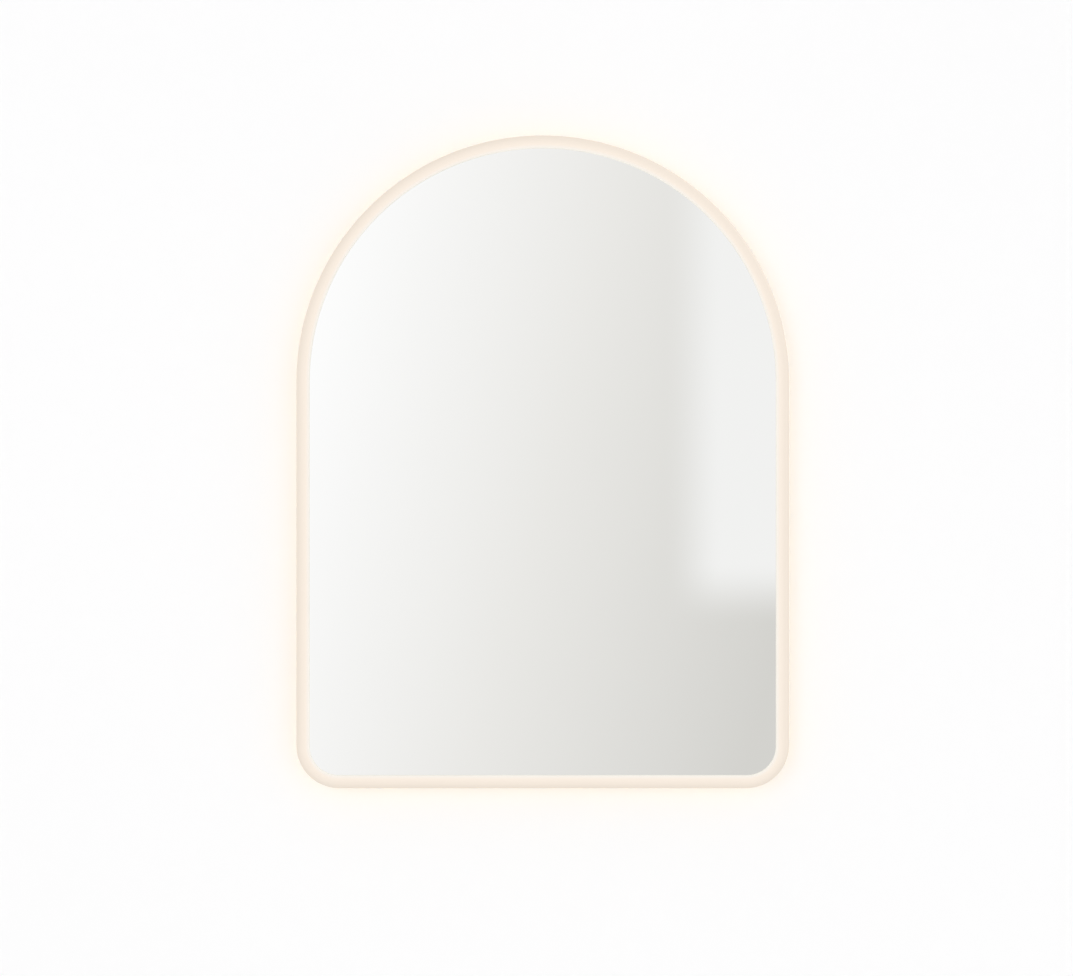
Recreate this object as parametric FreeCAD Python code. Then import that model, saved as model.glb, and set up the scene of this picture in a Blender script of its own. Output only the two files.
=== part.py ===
import FreeCAD, Part
import math
import os

# An arched bathroom mirror with a glowing band round its edge, hung on a wall rail.
#
# Millimetres. The wall is the plane y = 0, the mirror faces -Y and +Z is up.
# "Depth" is a distance out from the wall, so a point at depth d lies at y = -d.
# "Inset" is a distance in from the outer edge of the light band.
# The origin is the middle of the wall rail's line of screw holes, on the wall.

# ---------------------------------------------------------------- overall shape
WIDTH = 600.0
HEIGHT = 795.0
CORNER_RADIUS = 52.0        # outer edge, the two lower corners
RAIL_DROP = 185.0           # from the top of the band down to the wall screws
FIT = 0.2                   # between pieces that nest
RUNNING = 0.05              # round a pin or a shaft that turns or slides
CUT_PAST = 1.0              # a cut runs on this far past the faces it opens

# ---------------------------------------------------------------- light band
BAND_WIDTH = 15.8
BAND_WALL = 2.0
BAND_SHOULDER = 1.8         # flat top of the band between its round and its foot
BAND_PROUD = 1.0            # the crest stands this far in front of the glass
BAND_LIP = 5.0              # rear lip that hooks behind the frame's flange
BAND_LIP_SHEET = 1.6

# ---------------------------------------------------------------- glass and its bed
GLASS = 5.0
GLASS_ARRIS = 0.8
GLASS_GAP = 0.3             # between the band's foot and the glass's edge
FILM = 0.3
TAPE = 1.0
TAPE_WIDTH = 14.0
TAPE_MARGIN = 2.0           # the tape starts this far in from the glass's edge

# ---------------------------------------------------------------- extruded frame
FRAME_WALL = 1.6
FRAME_CHANNEL = 11.7        # clear depth between the two ledges
REAR_LEDGE = 16.2           # reach inwards from the web
FRONT_LEDGE = 18.0
RIB = 1.0
RIB_REACH = 0.8
JOINT_GAP = 0.3             # where the bent frame's two ends meet

SPLICE_LENGTH = 90.0
SPLICE_PLATE = 2.0
SPLICE_END = 10.0           # outer screws to the splice's ends
SPLICE_PITCH = 20.0

# ---------------------------------------------------------------- light strip
STRIP_WIDTH = 8.0
STRIP_SHEET = 0.5
STRIP_BED = 0.05
STRIP_END_GAP = 6.0
BEAD_WIDTH = 3.0
BEAD_RISE = 1.2

# ---------------------------------------------------------------- rear tray
TRAY_SHEET = 1.0
TRAY_DEPTH = 15.0
TRAY_INSET = 42.0
TRAY_FLANGE_INSET = 17.5
TRAY_BEND = 2.0
TRAY_SEAM = 3.5             # from the wall's outer face in to the welded seam
TRAY_SCREW_COUNT = 14
TRAY_SCREW_INSET = 24.0
GASKET = 0.8
GASKET_WIDTH = 10.5
GASKET_INSET = 18.8
RIDGE_RISE = 1.5
RIDGE_WIDTH = 12.0
RIDGE_LENGTH = 330.0
RIDGE_FROM_WALL_OF_TRAY = 30.0
RIDGE_TOP_DROP = 110.0      # below the wall screws

# ---------------------------------------------------------------- rails
RAIL_SHEET = 1.5
HOOK_OFF_WALL = 0.75
HOOK_PLAY = 0.5             # between the two tongues
HANGER_AIR = 1.25           # between the wall tongue and the hanger's plate
RAIL_LENGTH = 320.0
RAIL_BELOW = 13.0           # plate below the screw line
RAIL_JOG = 9.0              # from the screw line up to the jog
RAIL_TONGUE = 18.0          # from the jog up to the tongue's edge
RAIL_BEND = 1.0
HANGER_LENGTH = 350.0
HANGER_TONGUE = 13.0
HANGER_PLATE = 22.0
HANGER_BAR = 2.0
HANGER_BAR_SIDE = 4.0       # the bar stands this far past the plate, above and below
WALL_HOLE_RADIUS = 2.75
WALL_HOLE_SPACING = 260.0
WALL_SLOT_LENGTH = 12.0
WALL_SLOT_SPACING = 100.0
HANGER_SCREW_SPACING = 100.0
HANGER_SCREW_COUNT = 4
LIFT = 14.0                 # travel that frees the hook

BUMPER_RADIUS = 10.0
BUMPER_TIP_RADIUS = 8.0
BUMPER_SPACING = 340.0
BUMPER_UP = 40.0            # above the tray's lower wall

# ---------------------------------------------------------------- fasteners
SCREW_SMALL = 1.5           # shank radii
SCREW_TRAY = 1.9
SCREW_LARGE = 2.5
SCREW_CLEARANCE = 0.1
SCREW_HEAD_RATIO = 1.9      # head radius over shank radius
SCREW_HEAD_HEIGHT_RATIO = 1.1
NUT_FLATS_RATIO = 1.75      # half the width across flats, over the shank radius
NUT_HEIGHT_RATIO = 1.6
TRAY_SCREW_LENGTH = 9.0
THREAD_PAST_NUT = 1.5

# ---------------------------------------------------------------- wiring box
BOX_X = -120.0
BOX_UP = 238.0              # above the tray's lower wall
BOX_LENGTH = 96.0
BOX_HEIGHT = 46.0
BOX_WALL = 1.6
BOX_FRONT_AIR = 2.2         # to the film behind the glass
BOX_EAR = 11.0
BOX_EAR_SHEET = 2.5
GROMMET_FROM_END = 14.0
GROMMET_BORE = 3.6
GROMMET_HOLE = 6.0
GROMMET_FLANGE = 8.5
GROMMET_FLANGE_SHEET = 1.8
HATCH_HEIGHT = 38.0
HATCH_CORNER = 3.0
HATCH_FROM_END = 8.0        # from the box's far end to the hatch
LID_FROM_GROMMET = 4.5

LID_SHEET = 1.6
LID_LAP = 3.0
LID_GAP = 0.2
LID_KNUCKLE = 2.0
LID_PIN = 1.0
LID_PIN_OFF = 2.4           # from the tray's back to the pin's axis
LID_LUG = 4.0
LID_LUG_GAP = 0.3
LID_FINGER = 18.0
LID_FINGER_RISE = 1.6
LID_BRACKET_HEIGHT = 9.0
LID_BRACKET_SHEET = 1.2

# ---------------------------------------------------------------- terminal block
POLES = 3
POLE_PITCH = 10.0
BLOCK_LENGTH = 32.0
BLOCK_DEPTH = 12.5
BLOCK_FROM_HATCH = 14.0     # from the hatch's inlet end to the block
LEVER_WIDTH = 6.2
LEVER_REACH = 12.5
LEVER_HUB = 1.9
LEVER_SHEET = 1.8
LEVER_AXLE = 0.9
LEVER_AXLE_END = 0.8
LEVER_FROM_END = 5.0
LEVER_SIDE_GAP = 0.3
ENTRY_RADIUS = 1.7
ENTRY_UP = 4.5              # from the block's base to the middle of the wire entries
CLIP_SHEET = 0.8
CLIP_WIDTH = 4.4
CLIP_LENGTH = 16.0
CHAMBER_HEIGHT = 3.4
CHAMBER_WIDTH = 4.8

# ---------------------------------------------------------------- power supply
DRIVER_X = 42.0
DRIVER_UP = 158.0           # above the tray's lower wall
DRIVER_LENGTH = 156.0
DRIVER_HEIGHT = 42.0
DRIVER_DEPTH = 21.5
DRIVER_WALL = 1.8
DRIVER_LID = 1.8
DRIVER_LID_RIM = 1.5
DRIVER_EAR = 12.0
DRIVER_EAR_SHEET = 2.5
DRIVER_CORNER = 3.0
BOARD_SHEET = 1.6
BOARD_UP = 3.2
BOARD_GAP = 0.5
POST_RADIUS = 2.4
POST_GAP = 1.0              # between a post and the case's walls
TRANSFORMER_LENGTH = 25.0
TRANSFORMER_HEIGHT = 20.0
TRANSFORMER_DEPTH = 11.0
BOBBIN_PROUD = 1.0
CAPACITOR_RADIUS = 4.0
CAPACITOR_DEPTH = 11.0
CAPACITOR_PITCH = 10.0
CAPACITOR_GAP = 2.0         # to the transformer, past a can's own width

# ---------------------------------------------------------------- dimmer module
DIMMER_X = 70.0
DIMMER_UP = 50.0            # above the tray's lower wall
DIMMER_LENGTH = 52.0
DIMMER_HEIGHT = 26.0
DIMMER_DEPTH = 11.0
DIMMER_WALL = 1.5
DIMMER_BOARD_UP = 2.0

# ---------------------------------------------------------------- push button
BUTTON_X = 0.0
BUTTON_STEM = 3.2
BUTTON_FLANGE = 0.5         # the cap's collar stands this far past its stem
BUTTON_FLANGE_SHEET = 1.0
BUTTON_PROUD = 2.2
BUTTON_TRAVEL = 1.5
BUTTON_BARREL_WALL = 0.8
BUTTON_BARREL = 11.0
BUTTON_BEZEL = 1.5
BUTTON_BEZEL_RIM = 1.0      # past the barrel
BUTTON_NUT = 2.5
BUTTON_NUT_RIM = 0.9
BUTTON_SEAL = 0.6
BUTTON_HEAD_WALL = 1.2
SPRING_WIRE = 0.25
SPRING_TURNS = 5

# ---------------------------------------------------------------- leads
LEAD_MAINS = 1.2            # radii
LEAD_PAIR = 1.6
LEAD_THIN = 1.0
LEAD_PLAY = 0.15
LEAD_OVER_BOARD = 1.0
LEAD_INSIDE = 2.0           # a lead's end reaches this far into its case
LEAD_BEND = 14.0            # the widest bend
LEAD_BEND_SHARE = 0.45      # a bend takes this share of its shorter run
LEAD_SPACE = 8.0            # between the two mains leads at the power supply
PAIR_SPACE = 5.0            # half the distance between the dimmer's two left exits
LEAD_RUN_PAST_BOX = 12.0
LEAD_STEP = 10.0            # between the live and the neutral lead's drops
LEAD_RUN_PAST_DRIVER = 26.0
STRIP_LEAD_X = -60.0
WEB_GROMMET = 1.4           # radial thickness of rubber round the strip's lead
WEB_GROMMET_FLANGE = 1.2
CLAMP_WALL = 1.2
CLAMP_LENGTH = 7.0

EARTH_X = -42.0
EARTH_UP = 38.0             # above the middle of the wiring box
EARTH_STUD = 2.0
EARTH_STUD_LENGTH = 12.0
EARTH_TAG = 0.8
EARTH_TAG_RIM = 2.4

# ---------------------------------------------------------------- places worked out
TOP = RAIL_DROP
BOTTOM = RAIL_DROP - HEIGHT
SPRING_LINE = TOP - WIDTH / 2           # where the top half circle begins

TONGUE_BACK = HOOK_OFF_WALL + RAIL_SHEET + HOOK_PLAY
TONGUE_FRONT = TONGUE_BACK + RAIL_SHEET
HANGER_BACK = TONGUE_FRONT + HANGER_AIR
TRAY_BACK = HANGER_BACK + RAIL_SHEET
TRAY_FLOOR = TRAY_BACK + TRAY_SHEET
TRAY_FRONT = TRAY_BACK + TRAY_DEPTH
FRAME_BACK = TRAY_FRONT + GASKET
FRAME_FRONT = FRAME_BACK + FRAME_CHANNEL + 2 * FRAME_WALL
FILM_BACK = FRAME_FRONT + TAPE
GLASS_BACK = FILM_BACK + FILM
GLASS_FRONT = GLASS_BACK + GLASS
CREST = GLASS_FRONT + BAND_PROUD

WEB_OUT = BAND_WIDTH - FRAME_WALL
WEB_IN = BAND_WIDTH
STRIP_DEPTH = (FRAME_BACK + FRAME_FRONT) / 2
GLASS_INSET = BAND_WIDTH + GLASS_GAP

TRAY_LOW = BOTTOM + TRAY_INSET          # outer face of the tray's lower wall
JOG_TOP = RAIL_JOG + RAIL_SHEET
TONGUE_EDGE = JOG_TOP + RAIL_TONGUE - RAIL_SHEET
HANGER_SCREW_Z = TONGUE_EDGE + RAIL_SHEET + HANGER_PLATE / 2

BOX_FRONT = FILM_BACK - BOX_FRONT_AIR
BOX_Z = TRAY_LOW + BOX_UP
BOX_LEFT = BOX_X - BOX_LENGTH / 2
BOX_RIGHT = BOX_X + BOX_LENGTH / 2
GROMMET_X = BOX_LEFT + GROMMET_FROM_END
HATCH_RIGHT = BOX_RIGHT - HATCH_FROM_END
HATCH_LEFT = GROMMET_X + GROMMET_FLANGE + LID_FROM_GROMMET + LID_LAP
HATCH_LENGTH = HATCH_RIGHT - HATCH_LEFT
HATCH_X = (HATCH_LEFT + HATCH_RIGHT) / 2
HATCH_TOP = BOX_Z + HATCH_HEIGHT / 2
LID_FRONT = TRAY_BACK - LID_GAP
LID_TOP = HATCH_TOP + LID_LAP
PIN_DEPTH = TRAY_BACK - LID_PIN_OFF
PIN_Z = LID_TOP + LID_KNUCKLE / 2
LUG_SPAN = HATCH_LENGTH - 2 * LID_LAP

BLOCK_LEFT = HATCH_LEFT + BLOCK_FROM_HATCH
BLOCK_RIGHT = BLOCK_LEFT + BLOCK_LENGTH
BLOCK_FRONT = BOX_FRONT - BOX_WALL
BLOCK_BACK = BLOCK_FRONT - BLOCK_DEPTH
LEVER_X = BLOCK_RIGHT - LEVER_FROM_END
LEVER_DEPTH = BLOCK_BACK + LEVER_HUB
ENTRY_DEPTH = BLOCK_FRONT - ENTRY_UP
POLE_Z = [BOX_Z + (i - (POLES - 1) / 2) * POLE_PITCH for i in range(POLES)]

DRIVER_Z = TRAY_LOW + DRIVER_UP
DRIVER_LEFT = DRIVER_X - DRIVER_LENGTH / 2
DRIVER_RIGHT = DRIVER_X + DRIVER_LENGTH / 2
DRIVER_OPEN = TRAY_FLOOR + DRIVER_DEPTH         # rim of the case
BOARD_BACK = TRAY_FLOOR + DRIVER_WALL + BOARD_UP
BOARD_FRONT = BOARD_BACK + BOARD_SHEET
DRIVER_LEAD_DEPTH = BOARD_FRONT + LEAD_PAIR + LEAD_OVER_BOARD

DIMMER_Z = TRAY_LOW + DIMMER_UP
EARTH_Z = BOX_Z + EARTH_UP
DIMMER_LEFT = DIMMER_X - DIMMER_LENGTH / 2
DIMMER_RIGHT = DIMMER_X + DIMMER_LENGTH / 2
DIMMER_LEAD_DEPTH = TRAY_FLOOR + DIMMER_DEPTH / 2

BUTTON_DEPTH = (TRAY_BACK + TRAY_BEND + TRAY_FRONT - TRAY_SHEET) / 2
BUTTON_BORE = BUTTON_STEM + RUNNING
BUTTON_COLLAR = BUTTON_STEM + BUTTON_FLANGE
BUTTON_CHAMBER = BUTTON_COLLAR + FIT
BUTTON_OUTER = BUTTON_CHAMBER + BUTTON_BARREL_WALL
BUTTON_SEAT = TRAY_LOW - BUTTON_SEAL            # the bezel's upper face
BUTTON_TOP = BUTTON_SEAT + BUTTON_BARREL
COLLAR_LOW = BUTTON_SEAT + FIT
COLLAR_HIGH = COLLAR_LOW + BUTTON_FLANGE_SHEET

OUT = FreeCAD.Vector(0, -1, 0)                  # away from the wall
UP = FreeCAD.Vector(0, 0, 1)
DOWN = FreeCAD.Vector(0, 0, -1)
RIGHT = FreeCAD.Vector(1, 0, 0)


# ---------------------------------------------------------------- shape helpers
def at(x, depth, z):
    """A point given by its depth out from the wall."""
    return FreeCAD.Vector(x, -depth, z)


def box(x, depth, z):
    """A block from three (low, high) pairs."""
    size = (x[1] - x[0], depth[1] - depth[0], z[1] - z[0])
    return Part.makeBox(*size, at(x[0], depth[1], z[0]))


def rod(radius, start, direction, length):
    return Part.makeCylinder(radius, length, start, direction)


def disc(radius, x, z, depth):
    """A cylinder along the depth, between two depths."""
    return rod(radius, at(x, depth[0], z), OUT, depth[1] - depth[0])


def past(span):
    """A (low, high) pair made longer at both ends, to cut with."""
    return (span[0] - CUT_PAST, span[1] + CUT_PAST)


def drill(radius, start, direction, length):
    """A rod that runs on past both ends, to cut with."""
    return rod(radius, start - direction * CUT_PAST, direction, length + 2 * CUT_PAST)


def hole(radius, x, z, depth):
    """A drill along the depth."""
    return disc(radius, x, z, past(depth))


def rounded_box(x, depth, z, radius):
    """A block whose four edges along the depth are rounded."""
    block = box(x, depth, z)
    edges = [e for e in block.Edges if abs(e.tangentAt(e.FirstParameter).y) > 0.9]
    return block.makeFillet(radius, edges)


def slot(x, z, length, half_width, depth, upright=False):
    """A round-ended block along X, or along Z when upright."""
    half = length / 2 - half_width
    if upright:
        core = box((x - half_width, x + half_width), depth, (z - half, z + half))
        ends = [(x, z - half), (x, z + half)]
    else:
        core = box((x - half, x + half), depth, (z - half_width, z + half_width))
        ends = [(x - half, z), (x + half, z)]
    return core.fuse([disc(half_width, ex, ez, depth) for ex, ez in ends]).removeSplitter()


def prism(points, direction):
    """The flat outline through these points, pushed along a vector."""
    return Part.Face(Part.makePolygon(points + points[:1])).extrude(direction)


def group(shapes):
    """Like pieces that share one node, each still a solid of its own."""
    return Part.makeCompound(shapes)


def placed(shape, position, direction):
    """Turn a shape that was made along +Z to a direction, and set it down."""
    shape = shape.copy()
    shape.Placement = FreeCAD.Placement(position, FreeCAD.Rotation(UP, direction))
    return shape


def screw(radius, length):
    """A pan-head screw with a cross recess, its head's seat at 0 and its tip up +Z."""
    head_radius = radius * SCREW_HEAD_RATIO
    head_height = radius * SCREW_HEAD_HEIGHT_RATIO
    origin = FreeCAD.Vector(0, 0, 0)
    head = rod(head_radius, origin, DOWN, head_height)
    rim = [e for e in head.Edges if len(e.Vertexes) == 1 and e.CenterOfMass.z < -head_height / 2]
    head = head.makeFillet(head_height * 0.45, rim)
    shank = rod(radius, origin, UP, length)
    tip = [e for e in shank.Edges if len(e.Vertexes) == 1 and e.CenterOfMass.z > length / 2]
    shank = shank.makeChamfer(radius * 0.35, tip)
    arm = radius * 1.1
    width = radius * 0.36
    floor = -head_height * 0.45
    recess = [Part.makeBox(2 * a, 2 * b, head_height, FreeCAD.Vector(-a, -b, floor - head_height))
              for a, b in ((arm, width / 2), (width / 2, arm))]
    return head.fuse(shank).cut(recess).removeSplitter()


def nut(radius):
    """A hexagon nut that sits on z = 0."""
    half_flats = radius * NUT_FLATS_RATIO
    corner = half_flats / math.cos(math.pi / 6)
    points = [FreeCAD.Vector(corner * math.cos(a), corner * math.sin(a), 0)
              for a in (math.pi / 3 * i for i in range(6))]
    height = radius * NUT_HEIGHT_RATIO
    body = prism(points, UP * height)
    return body.cut(drill(radius + RUNNING, FreeCAD.Vector(0, 0, 0), UP, height))


def nut_height(radius):
    return radius * NUT_HEIGHT_RATIO


def arch_wire(inset, depth):
    """The mirror's outline, from the bottom's middle round to the right and back."""
    half = WIDTH / 2 - inset
    corner = CORNER_RADIUS - inset
    low = BOTTOM + inset
    diagonal = corner * (1 - math.sqrt(0.5))
    right_low = at(half - corner, depth, low)
    right_mid = at(half - diagonal, depth, low + diagonal)
    right_high = at(half, depth, low + corner)
    left_low = at(-half + corner, depth, low)
    left_mid = at(-half + diagonal, depth, low + diagonal)
    left_high = at(-half, depth, low + corner)
    right_spring = at(half, depth, SPRING_LINE)
    left_spring = at(-half, depth, SPRING_LINE)
    crown = at(0, depth, SPRING_LINE + half)
    middle = at(0, depth, low)
    curves = [Part.LineSegment(middle, right_low), Part.Arc(right_low, right_mid, right_high),
              Part.LineSegment(right_high, right_spring), Part.Arc(right_spring, crown, left_spring),
              Part.LineSegment(left_spring, left_high), Part.Arc(left_high, left_mid, left_low),
              Part.LineSegment(left_low, middle)]
    return Part.Wire([c.toShape() for c in curves])


def arch_plate(inset, depth):
    """A solid arch between two depths."""
    face = Part.Face(arch_wire(inset, depth[0]))
    return face.extrude(OUT * (depth[1] - depth[0]))


def arch_ring(insets, depth):
    """A flat ring between two insets."""
    return arch_plate(insets[0], depth).cut(arch_plate(insets[1], past(depth)))


def swept_ring(curves):
    """A cross-section of (inset, depth) curves, swept once round the outline."""
    section = Part.Wire([c.toShape() for c in curves])
    return arch_wire(0, 0).makePipeShell([section], True, False)


def section_lines(points):
    """Straight sides through (inset, depth) points."""
    spots = [at(0, depth, BOTTOM + inset) for inset, depth in points]
    return [Part.LineSegment(a, b) for a, b in zip(spots, spots[1:])]


def section_arc(start, middle, end):
    """A round side through three (inset, depth) points."""
    return Part.Arc(*[at(0, depth, BOTTOM + inset) for inset, depth in (start, middle, end)])


def stations(inset, count):
    """Evenly spaced places round the outline, none on the frame's joint."""
    points = arch_wire(inset, 0).discretize(2 * count + 1)[1::2]
    return [(p.x, p.z) for p in points]


def lead(name, points, radius):
    """A wire along straight runs joined by tangent arcs as large as the runs allow."""
    curves = []
    bends = []
    start = points[0]
    length = 0.0
    for before, corner, after in zip(points, points[1:], points[2:]):
        towards = before - corner
        onwards = after - corner
        run = min(towards.Length, onwards.Length)
        towards.normalize()
        onwards.normalize()
        half_turn = (math.pi - towards.getAngle(onwards)) / 2
        bend = min(LEAD_BEND, LEAD_BEND_SHARE * run / math.tan(half_turn))
        reach = bend * math.tan(half_turn)
        first = corner + towards * reach
        last = corner + onwards * reach
        middle = corner + (towards + onwards).normalize() * (bend / math.cos(half_turn) - bend)
        curves += [Part.LineSegment(start, first), Part.Arc(first, middle, last)]
        bends.append(round(bend, 1))
        length += start.distanceToPoint(first) + bend * 2 * half_turn
        start = last
    curves.append(Part.LineSegment(start, points[-1]))
    length += start.distanceToPoint(points[-1])
    path = Part.Wire([c.toShape() for c in curves])
    section = Part.Wire(Part.makeCircle(radius, points[0], points[1] - points[0]))
    tube = path.makePipeShell([section], True, False)
    share = tube.Volume / (math.pi * radius ** 2 * length)
    print(name, "length", round(length, 1), "bend radii", bends, "volume ratio", round(share, 5))
    return tube


# ---------------------------------------------------------------- light band and glass
def light_band():
    """Opal cover: a rear lip, a straight side, a quarter round and a foot at the glass."""
    round_out = BAND_WIDTH - BAND_WALL - BAND_SHOULDER
    round_in = round_out - BAND_WALL
    diagonal = 1 - math.sqrt(0.5)
    lip_front = FRAME_BACK - FIT
    lip_back = lip_front - BAND_LIP_SHEET
    foot = FRAME_FRONT + FIT
    foot_in = BAND_WIDTH - BAND_WALL
    under = CREST - BAND_WALL
    outer_arc = section_arc((0, CREST - round_out),
                            (round_out * diagonal, CREST - round_out * diagonal),
                            (round_out, CREST))
    shoulder = section_arc((round_out, CREST),
                           ((round_out + BAND_WIDTH) / 2, CREST - BAND_PROUD * 0.2),
                           (BAND_WIDTH, CREST - BAND_PROUD * 0.7))
    inner_arc = section_arc((round_out, under),
                            (BAND_WALL + round_in * diagonal, under - round_in * diagonal),
                            (BAND_WALL, under - round_in))
    sides = section_lines([(0, lip_back), (0, CREST - round_out)])
    sides += [outer_arc, shoulder]
    sides += section_lines([(BAND_WIDTH, CREST - BAND_PROUD * 0.7), (BAND_WIDTH, foot),
                            (foot_in, foot), (foot_in, under), (round_out, under)])
    sides.append(inner_arc)
    sides += section_lines([(BAND_WALL, under - round_in), (BAND_WALL, lip_front),
                            (BAND_LIP, lip_front), (BAND_LIP, lip_back), (0, lip_back)])
    return swept_ring(sides)


def mirror_glass():
    plate = arch_plate(GLASS_INSET, (GLASS_BACK, GLASS_FRONT))
    faces = [f for f in plate.Faces if abs(f.normalAt(0, 0).y) > 0.9]
    edges = [e for f in faces for e in f.Edges]
    return plate.makeChamfer(GLASS_ARRIS, edges)


def backing_film():
    """Silvering, paint and the safety film behind the glass."""
    return arch_plate(GLASS_INSET + GLASS_ARRIS, (FILM_BACK, GLASS_BACK))


def glass_tape():
    outer = GLASS_INSET + TAPE_MARGIN
    return arch_ring((outer, outer + TAPE_WIDTH), (FRAME_FRONT, FILM_BACK))


# ---------------------------------------------------------------- frame
def splice_screw_xs():
    outer = SPLICE_LENGTH / 2 - SPLICE_END
    return [-outer, -outer + SPLICE_PITCH, outer - SPLICE_PITCH, outer]


def frame_profile():
    """Bent extrusion: web, rear ledge with the band's flange, front ledge, strip ribs."""
    flange = BAND_WALL + FIT
    rear_in = WEB_IN + REAR_LEDGE
    front_in = WEB_IN + FRONT_LEDGE
    rear = FRAME_BACK + FRAME_WALL
    front = FRAME_FRONT - FRAME_WALL
    rib_near = STRIP_WIDTH / 2 + FIT
    rib_far = rib_near + RIB
    rib_tip = WEB_OUT - RIB_REACH
    frame = swept_ring(section_lines([
        (flange, FRAME_BACK), (rear_in, FRAME_BACK), (rear_in, rear), (WEB_IN, rear),
        (WEB_IN, front), (front_in, front), (front_in, FRAME_FRONT), (WEB_OUT, FRAME_FRONT),
        (WEB_OUT, STRIP_DEPTH + rib_far), (rib_tip, STRIP_DEPTH + rib_far),
        (rib_tip, STRIP_DEPTH + rib_near), (WEB_OUT, STRIP_DEPTH + rib_near),
        (WEB_OUT, STRIP_DEPTH - rib_near), (rib_tip, STRIP_DEPTH - rib_near),
        (rib_tip, STRIP_DEPTH - rib_far), (WEB_OUT, STRIP_DEPTH - rib_far),
        (WEB_OUT, rear), (flange, rear), (flange, FRAME_BACK)]))
    cuts = [box((-JOINT_GAP / 2, JOINT_GAP / 2), past((FRAME_BACK, FRAME_FRONT)),
                past((BOTTOM, BOTTOM + front_in)))]
    cuts += [hole(SCREW_TRAY + RUNNING, x, z, (FRAME_BACK, rear))
             for x, z in stations(TRAY_SCREW_INSET, TRAY_SCREW_COUNT)]
    low = BOTTOM + WEB_OUT
    cuts += [drill(SCREW_SMALL + RUNNING, at(x, STRIP_DEPTH, low), UP, FRAME_WALL)
             for x in splice_screw_xs()]
    cuts.append(drill(LEAD_PAIR + LEAD_PLAY + WEB_GROMMET, at(STRIP_LEAD_X, STRIP_DEPTH, low),
                      UP, FRAME_WALL))
    return frame.cut(cuts)


def frame_splice():
    half = SPLICE_LENGTH / 2
    low = BOTTOM + WEB_IN
    depth = (FRAME_BACK + FRAME_WALL + FIT, FRAME_FRONT - FRAME_WALL - FIT)
    plate = box((-half, half), depth, (low, low + SPLICE_PLATE))
    holes = [drill(SCREW_SMALL + SCREW_CLEARANCE, at(x, STRIP_DEPTH, low), UP, SPLICE_PLATE)
             for x in splice_screw_xs()]
    return plate.cut(holes)


def splice_screws():
    seat = BOTTOM + WEB_IN + SPLICE_PLATE
    length = SPLICE_PLATE + FRAME_WALL
    return group([placed(screw(SCREW_SMALL, length), at(x, STRIP_DEPTH, seat), DOWN)
                  for x in splice_screw_xs()])


# ---------------------------------------------------------------- light strip
def strip_gap():
    """Clears the strip's two ends, either side of the frame's joint."""
    half = STRIP_END_GAP / 2
    return box((-half, half), (FRAME_BACK, FRAME_FRONT), (BOTTOM, BOTTOM + WEB_OUT))


def led_strip():
    bed = WEB_OUT - STRIP_BED
    face = bed - STRIP_SHEET
    low = STRIP_DEPTH - STRIP_WIDTH / 2
    high = STRIP_DEPTH + STRIP_WIDTH / 2
    ring = swept_ring(section_lines([(face, low), (bed, low), (bed, high), (face, high), (face, low)]))
    return ring.cut(strip_gap())


def phosphor_bead():
    """The unbroken line of light along the strip."""
    face = WEB_OUT - STRIP_BED - STRIP_SHEET
    low = (face, STRIP_DEPTH - BEAD_WIDTH / 2)
    high = (face, STRIP_DEPTH + BEAD_WIDTH / 2)
    dome = section_arc(high, (face - BEAD_RISE, STRIP_DEPTH), low)
    return swept_ring(section_lines([low, high]) + [dome]).cut(strip_gap())


# ---------------------------------------------------------------- rear tray
def pressed_plate(inset, depth, bend):
    """An arch plate whose edge nearest the wall is rounded."""
    plate = arch_plate(inset, depth)
    edges = [e for e in plate.Edges if abs(e.CenterOfMass.y + depth[0]) < 0.01]
    return plate.makeFillet(bend, edges)


def ridges(grow, depth):
    """The two pressed stiffening ridges of the tray's back, made larger by "grow"."""
    x = WIDTH / 2 - TRAY_INSET - RIDGE_FROM_WALL_OF_TRAY
    z = -RIDGE_TOP_DROP - RIDGE_LENGTH / 2
    half_width = RIDGE_WIDTH / 2 + grow
    length = RIDGE_LENGTH + 2 * grow
    return [slot(side * x, z, length, half_width, depth, upright=True) for side in (-1, 1)]


def tray_rim():
    """Rolled steel rim: the flange that screws to the frame's rear ledge, the wall and a bend."""
    pan = pressed_plate(TRAY_INSET, (TRAY_BACK, TRAY_FRONT), TRAY_BEND)
    hollow = pressed_plate(TRAY_INSET + TRAY_SHEET, (TRAY_FLOOR, TRAY_FRONT + CUT_PAST),
                           TRAY_BEND - TRAY_SHEET)
    flange = arch_ring((TRAY_FLANGE_INSET, TRAY_INSET + TRAY_SHEET / 2),
                       (TRAY_FRONT - TRAY_SHEET, TRAY_FRONT))
    window = arch_plate(TRAY_INSET + TRAY_SEAM, past((TRAY_BACK, TRAY_FLOOR)))
    cuts = [hole(SCREW_TRAY + SCREW_CLEARANCE, x, z, (TRAY_FRONT - TRAY_SHEET, TRAY_FRONT))
            for x, z in stations(TRAY_SCREW_INSET, TRAY_SCREW_COUNT)]
    cuts.append(drill(BUTTON_OUTER + SCREW_CLEARANCE, at(BUTTON_X, BUTTON_DEPTH, TRAY_LOW),
                      UP, TRAY_SHEET))
    return pan.cut([hollow, window]).fuse(flange).cut(cuts).removeSplitter()


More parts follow.
